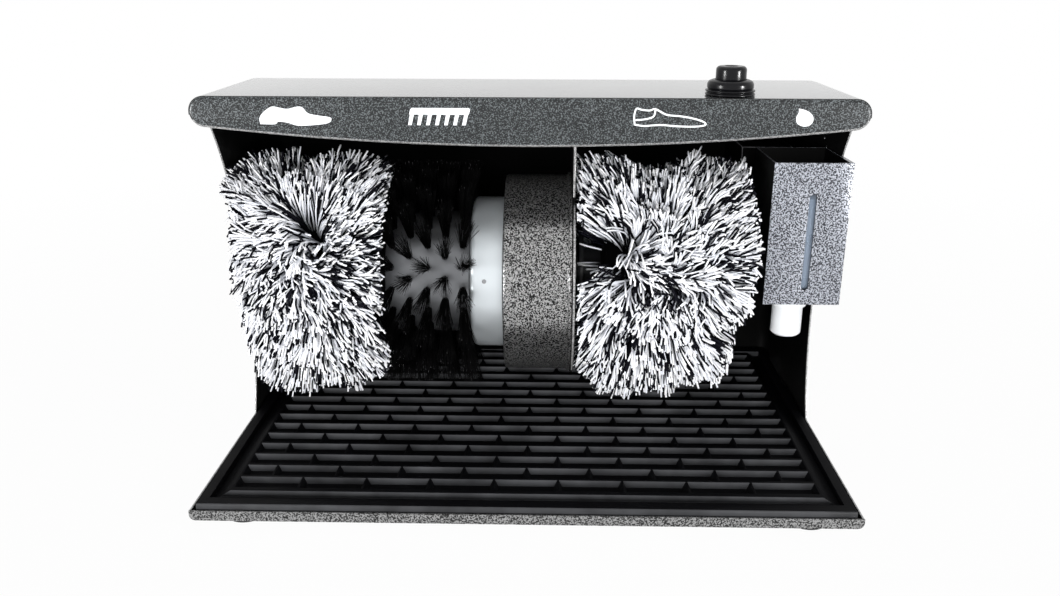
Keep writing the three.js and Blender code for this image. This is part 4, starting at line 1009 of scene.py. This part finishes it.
def add_mop(name, seed, count, locks, limits, bare=()):
    """Yarn strands that stand out from the core, gather into locks and flop over. They keep
    clear of the bare places: (share of the half width, degrees up from the front, radius)."""
    pile = name + "_pile"
    random = np.random.default_rng(seed)
    low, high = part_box(pile)
    radius = (high.z - low.z) / 2
    middle = (low.x + high.x) / 2
    half = (high.x - low.x) / 2
    share = random.uniform(-1, 1, count)
    around = random.uniform(-np.pi, np.pi, count)
    u, v = share * half, around * radius
    sway = smooth_field(random, 12 * MM, 22 * MM)(u, v) * LOCK_SWAY
    sway += smooth_field(random, 5 * MM, 9 * MM)(u, v) * CLUMP_SWAY
    sway += random.normal(0, STRAND_SWAY, count)
    direction, lean, reach = combed(locks, u, v, half, radius)
    height = smooth_field(random, 14 * MM, 30 * MM)(u, v)
    tip = radius * reach * (TIP_LEVEL + TIP_WAVE * height) - LEAN_DROP * lean
    tip += random.normal(0, TIP_SPREAD, count)
    shoulder = (np.abs(share) - SHOULDER_AT) / (1 - SHOULDER_AT)
    tip -= SHOULDER_DROP * np.clip(shoulder, 0, 1) ** 2
    root = radius * np.minimum(random.uniform(0.42, 0.5, count), reach * 0.8)
    near_limit = random.uniform(0, LIMIT_SPREAD, count)
    length = LOCK_LENGTH * random.uniform(0.7, 1.2, count)
    u = u - ROOT_SHIFT * length * lean * np.cos(direction + sway)
    v = v - ROOT_SHIFT * length * lean * np.sin(direction + sway)
    start = u
    low_limit, high_limit = (
        np.interp(np.degrees(around), [p[0] for p in limits], [p[k] for p in limits]) * MM
        for k in (1, 2)
    )
    stations = []
    kept = np.ones(count, bool)
    stray = random.uniform(0, 1, count) < STRAY_SHARE
    flop_before = 0
    for t in np.linspace(0, 1, YARN_STATIONS):
        flop = t ** 1.5
        direction, leans, _ = combed(locks, u, v, half, radius)
        step = length * leans * (flop - flop_before)
        flop_before = flop
        u = u + step * np.cos(direction + sway)
        v = v + step * np.sin(direction + sway)
        r = root + (tip - root) * (1 - (1 - t) ** (1 + 0.6 * lean))
        x = middle + u - start * (1 - ROOT_WIDTH) * (1 - t)
        x = np.clip(x, low_limit + near_limit, high_limit - near_limit)
        for share_at, degrees, size in bare:
            du = x - middle - share_at * half
            dv = v - math.radians(degrees) * radius
            kept &= (du ** 2 + dv ** 2 > size ** 2) | (t < BARE_FROM) | stray
        stations.append(np.stack([
            x, shaft_y - r * np.cos(v / radius), shaft_z + r * np.sin(v / radius),
        ], axis=-1))
    paths = np.stack(stations, axis=1)
    thick = YARN_RADIUS * random.uniform(0.85, 1.2, count)[:, None] * np.ones(YARN_STATIONS)
    clumps = smooth_field(random, 9 * MM, 16 * MM)(share * half, around * radius)
    black = random.uniform(0, 1, count) < DARK_SHARE * (1 + 0.5 * clumps)
    # Tones fall off towards the roots: painted shade between the strands.
    depth = np.clip(np.linspace(0, 1, YARN_STATIONS) / FULL_TONE_AT, 0, 1) ** 2
    tones = random.uniform(0.6, 1, count)[:, None] * depth
    body = body_of(pile)
    replaced = [pile]
    for part in range(YARN_PIECES):
        mine = kept & (np.arange(count) % YARN_PIECES == part)
        for shade, own, yarn in (
            ("black", black & mine, black_yarn), ("white", ~black & mine, white_yarn),
        ):
            tubes(
                f"{name}_{shade}_yarn_{part + 1}", paths[own], thick[own], YARN_SIDES, yarn,
                tones[own], body, "yarn", replaced,
            )
            replaced = ()
    # A near-black sheet under the strands stands for the pile's own shade: painted shade.
    low_x, high_x = middle - half * ROOT_WIDTH, middle + half * ROOT_WIDTH
    profile = rounded([
        (CORE_RADIUS, low_x), (radius * UNDER_SHARE, low_x), (radius * UNDER_SHARE, high_x),
        (CORE_RADIUS, high_x),
    ], 9 * MM, 5)
    under = lathe(name + "_under_yarn_shade", profile, ALONG_SHAFT, under_yarn_shade, body, "yarn", segments=64)
    tone = under.data.attributes.new("tone", "FLOAT", "POINT")
    tone.data.foreach_set("value", np.full(len(under.data.vertices), 0.1, np.float32))


# Bristle brush
TUFT_COLUMNS = 5
TUFTS_PER_COLUMN = 18
TUFT_INSET = 4.2 * MM
TUFT_TURN = math.radians(4.5)
FILAMENTS = 110
FILAMENT_RADIUS = 0.12 * MM
FILAMENT_STATIONS = (0.0, 0.55, 0.9, 1.0)
FILAMENT_TAPER = (1.1, 1.0, 0.9, 0.7)
FILAMENT_TONE = 0.1
FLARE = 1.3
TUFT_ROOT = 2.1 * MM
TUFT_SPREAD = 6.4 * MM
RIGHT_LEAN = 4.2 * MM
LEFT_LEAN = 1.5 * MM
# The power of a random share that sets how much lighter each tip is painted, as a painted
# highlight.
TIP_TONES = 5
SLEEVE_WALL = 1.6 * MM


def add_brush():
    """Tufts of fine filaments in staggered columns; the outer columns lean outwards."""
    random = np.random.default_rng(17)
    low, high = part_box("bristle_ring")
    core_low, core_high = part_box("brush_core")
    sleeve = (core_high.z - core_low.z) / 2 + SLEEVE_WALL
    tip = (high.z - low.z) / 2
    first = core_low.x + TUFT_INSET
    pitch = (core_high.x - TUFT_INSET - first) / (TUFT_COLUMNS - 1)
    paths = []
    for facet in range(2 * TUFTS_PER_COLUMN):
        angle = math.pi * (facet + 0.5) / TUFTS_PER_COLUMN - TUFT_TURN
        for column in range(facet % 2, TUFT_COLUMNS, 2):
            x = first + column * pitch
            edge = column / (TUFT_COLUMNS - 1) * 2 - 1
            lean_x = (RIGHT_LEAN if edge > 0 else LEFT_LEAN) * edge + random.normal(0, 0.5 * MM)
            lean_side = random.normal(0, 0.6 * MM)
            turn = random.uniform(0, 2 * np.pi, FILAMENTS)
            out = np.sqrt(random.uniform(0, 1, FILAMENTS))
            wide = TUFT_SPREAD * out + random.normal(0, 0.9 * MM, FILAMENTS)
            length = tip - random.uniform(0, 1, FILAMENTS) ** 2 * 5 * MM
            tuft = []
            for t in FILAMENT_STATIONS:
                r = sleeve - 0.5 * MM + (length - sleeve) * t
                off = TUFT_ROOT * out + (wide - TUFT_ROOT * out) * t ** FLARE
                side = off * np.sin(turn) + lean_side * t
                tuft.append(np.stack([
                    x + off * np.cos(turn) + lean_x * t ** FLARE,
                    shaft_y + r * math.cos(angle) - side * math.sin(angle),
                    shaft_z + r * math.sin(angle) + side * math.cos(angle),
                ], axis=-1))
            paths.append(np.stack(tuft, axis=1))
    paths = np.concatenate(paths)
    radii = np.tile(np.array([FILAMENT_TAPER]) * FILAMENT_RADIUS, (len(paths), 1))
    # Filaments are dark, with tips painted lighter at random: painted highlights where the tips
    # catch the light.
    tones = np.full(radii.shape, FILAMENT_TONE)
    tones[:, -1] += (1 - FILAMENT_TONE) * random.uniform(0, 1, len(paths)) ** TIP_TONES
    tubes("brush_filaments", paths, radii, 3, filament, tones, SHAFT, "bristle", ["bristle_ring"])
    inside = sleeve - 1.5 * MM
    profile = rounded([
        (inside, core_low.x), (sleeve, core_low.x), (sleeve, core_high.x), (inside, core_high.x),
    ], 0.4 * MM)
    # The sleeve takes the grey core plastic, a painted sheen.
    lathe("brush_sleeve", profile, ALONG_SHAFT, core_plastic, SHAFT, "black_plastic")


# The other pieces

def own_axis(node):
    """An upright axis through the middle of a node."""
    low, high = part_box(node)
    return Matrix.Translation(((low.x + high.x) / 2, (low.y + high.y) / 2, 0))


# The boot's outer side as shares of its radius and height, from its base up
BOOT_SIDE = [
    (1, 0), (1, 0.12), (0.93, 0.17), (0.93, 0.21), (1, 0.25), (1, 0.33), (0.88, 0.38),
    (0.93, 0.45), (0.93, 0.74), (0.87, 0.9), (0.72, 1),
]
# Rivet heads inside the right panel, as (metres behind the tray's front, height)
PANEL_RIVETS = [(0.1325, 0.2034), (0.1495, 0.207), (0.1555, 0.2122)]
SCREW_X = -28.4 * MM
SCREW_TURN = math.radians(9.5)


def add_boot():
    """The boot's CAD bore with the ringed, straight-sided outside that the real one has."""
    low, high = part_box("switch_boot")
    radius = (high.x - low.x) / 2
    place = own_axis("switch_boot")
    inner = [p for p in turned_profile("switch_boot", place) if p[0] < radius * 0.7]
    foot = min((p for p in inner if p[1] <= low.z + MM), key=lambda p: p[0])
    outer = [(r * radius, low.z + z * (high.z - low.z)) for r, z in BOOT_SIDE]
    bore = sorted((p for p in inner if p[1] > low.z + MM), reverse=True)
    lathe(
        "switch_boot_finish", rounded([foot, *outer, *bore], 0.5 * MM), place, gloss_rubber,
        HOUSING, "black_rubber", ["switch_boot"],
    )


def add_foot(node):
    """A moulded foot, as wide at the ground as at the tray."""
    place = own_axis(node)
    low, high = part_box(node)
    radius = (high.x - low.x) / 2
    profile = [(radius if r > radius * 0.6 else r, z) for r, z in turned_profile(node, place)]
    lathe(
        node + "_finish", rounded(profile, 0.8 * MM), place, foot_rubber, HOUSING,
        "black_rubber", [node],
    )


def dome(radius, height, rounding):
    """The profile of a low round head."""
    return rounded([
        (0, 0), (radius, 0), (radius * 0.85, height * 0.6), (radius * 0.5, height), (0, height),
    ], rounding)


def add_fixings():
    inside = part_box("right_side_panel")[0].x
    inward = Matrix.Rotation(-math.pi / 2, 4, "Y")
    for k, (y, z) in enumerate(PANEL_RIVETS):
        place = Matrix.Translation((inside, tray_front + y, z)) @ inward
        lathe(
            f"panel_rivet_{k + 1}", dome(1.1 * MM, 0.7 * MM, 0.2 * MM), place, screw_steel,
            HOUSING, "steel", segments=20,
        )
    low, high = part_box("motor_end_shroud")
    place = Matrix.Translation((SCREW_X, shaft_y, shaft_z))
    place = place @ Matrix.Rotation(math.pi / 2 - SCREW_TURN, 4, "X")
    place = place @ Matrix.Translation((0, 0, (high.z - low.z) / 2 - 0.1 * MM))
    lathe(
        "shroud_screw", dome(1.5 * MM, 0.35 * MM, 0.1 * MM), place, cast_metal, HOUSING,
        "steel", segments=24,
    )


def finish_turned_pieces():
    for node in ("foot_front_left", "foot_front_right", "foot_rear_left", "foot_rear_right"):
        add_foot(node)
    turned("motor_cover", ALONG_SHAFT, 0.8 * MM, cover_paint, "hammered_paint", FINE_SEGMENTS)
    turned("motor_end_shroud", ALONG_SHAFT, 1 * MM, shroud_plastic, "white_plastic", FINE_SEGMENTS)
    for nodes, rounding, material, slot in (
        ("right_end_bell left_end_bell motor_rotor", 0.6 * MM, cast_metal, "cast_alloy"),
        ("right_bearing left_bearing motor_shaft brush_spacer", 0.3 * MM, turned_steel, "steel"),
        ("left_shaft_washer right_shaft_washer", 0.3 * MM, turned_steel, "steel"),
        ("motor_stator", 1 * MM, motor_windings, "stator_iron"),
        ("left_mop_core right_mop_core", 0.5 * MM, black_plastic, "black_plastic"),
        ("brush_core", 0.5 * MM, core_plastic, "black_plastic"),
    ):
        for node in nodes.split():
            turned(node, ALONG_SHAFT, rounding, material, slot)
    add_boot()
    for node, rounding, material, slot in (
        ("switch_button", 1.2 * MM, gloss_rubber, "black_plastic"),
        ("switch_body", 0.6 * MM, black_plastic, "black_plastic"),
        ("polish_bottle", 0.6 * MM, bottle_plastic, "clear_plastic"),
        ("bottle_cap", 0.6 * MM, white_plastic, "white_plastic"),
        ("valve_collar", 0.6 * MM, white_plastic, "white_plastic"),
        ("dispenser_nozzle", 0.6 * MM, white_plastic, "white_plastic"),
    ):
        turned(node, own_axis(node), rounding, material, slot)
    low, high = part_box("cable_grommet")
    rearward = Matrix.Rotation(-math.pi / 2, 4, "X")
    place = Matrix.Translation(((low.x + high.x) / 2, 0, (low.z + high.z) / 2)) @ rearward
    turned("cable_grommet", place, 0.5 * MM, foot_rubber, "black_rubber")


def outside_box(middle, normal):
    """The lit outer faces are painted grey and the inside black; the left outer face, turned from
    the lamps, is painted black too, as painted shade.
    """
    outside = (middle - (box_low + box_high) / 2).dot(normal) > 0
    return 0 if outside and normal.x > -FACING else 1


def any_edge(middle, normal):
    """The narrow faces along the edges, which take the lighter enamel: a painted highlight."""
    return 0 if max(abs(normal.x), abs(normal.y), abs(normal.z)) > 0.99 else 1


# Faces turned to the front, which take the second, lighter material as painted light.
def lit_front_faces(middle, normal):
    return 1 if normal.y < -0.6 else 0


def finish_plain_pieces():
    softened("base_tray", 0.4 * MM, [lip_paint], "hammered_paint")
    # The mat's front-facing walls are painted lighter, as painted light.
    softened(
        "rubber_mat", 0.35 * MM, [mat_rubber, lit_face_rubber], "black_rubber", lit_front_faces, segments=1,
    )
    for node, width, materials, slot, pick in (
        # The bracket's front faces take the lighter paint: a painted highlight.
        ("motor_bracket", 0.3 * MM, [black_enamel, edge_highlight_paint], "hammered_paint", lit_front_faces),
        ("dispenser_box", 0.35 * MM, [box_paint, black_enamel], "hammered_paint", outside_box),
        # The control box's edges take the lighter enamel: a painted highlight.
        ("control_box", 0.5 * MM, [black_enamel, enamel_edge_highlight], "black_paint", any_edge),
    ):
        softened(node, width, materials, slot, pick)
    for node in ("left_shaft_nut", "right_shaft_nut", "switch_nut"):
        softened(node, 0.3 * MM, [turned_steel], "steel")


def add_spring():
    """The valve spring as the CAD node has it, from its foot on the nozzle to its top on the
    bottle's cap, in steel.
    """
    mesh = frame["nodes"]["valve_spring"].data.copy()
    mesh.materials.clear()
    mesh.materials.append(screw_steel)
    piece = linked("valve_spring_finish", mesh)
    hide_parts("valve_spring")
    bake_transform(piece)


add_camera()
add_surroundings()
add_lamp("front_box", (-0.2, -1.6, 0.34), (0, 0, 0.12), (1.4, 0.5), 34, in_gloss=False)
add_lamp("left_strip", (-1.0, -0.72, 0.18), (0.1, 0, 0.2), (0.16, 0.14), 9, in_diffuse=False)
add_lamp("right_strip", (1.1, -0.85, 0.18), (0.1, 0, 0.2), (0.16, 0.14), 14, in_diffuse=False)
add_lamp("right_box", (1.3, -0.8, 0.8), (0, 0, 0.1), (0.6, 0.9), 8, in_gloss=False)
add_lamp("top_box", (0, 0.3, 1.6), (0, 0, 0.1), (1.4, 1.0), 5)

add_hood()
add_fascia()
add_side_panels()
add_figures()
finish_turned_pieces()
finish_plain_pieces()
add_spring()
add_mop("left_mop", 3, 11500, LEFT_LOCKS + REAR_LOCKS, LEFT_LIMITS)
add_mop("right_mop", 8, 13500, RIGHT_LOCKS + REAR_LOCKS, RIGHT_LIMITS, RIGHT_BARE)
add_brush()
add_fixings()

bpy.context.scene.view_settings.view_transform = "Standard"
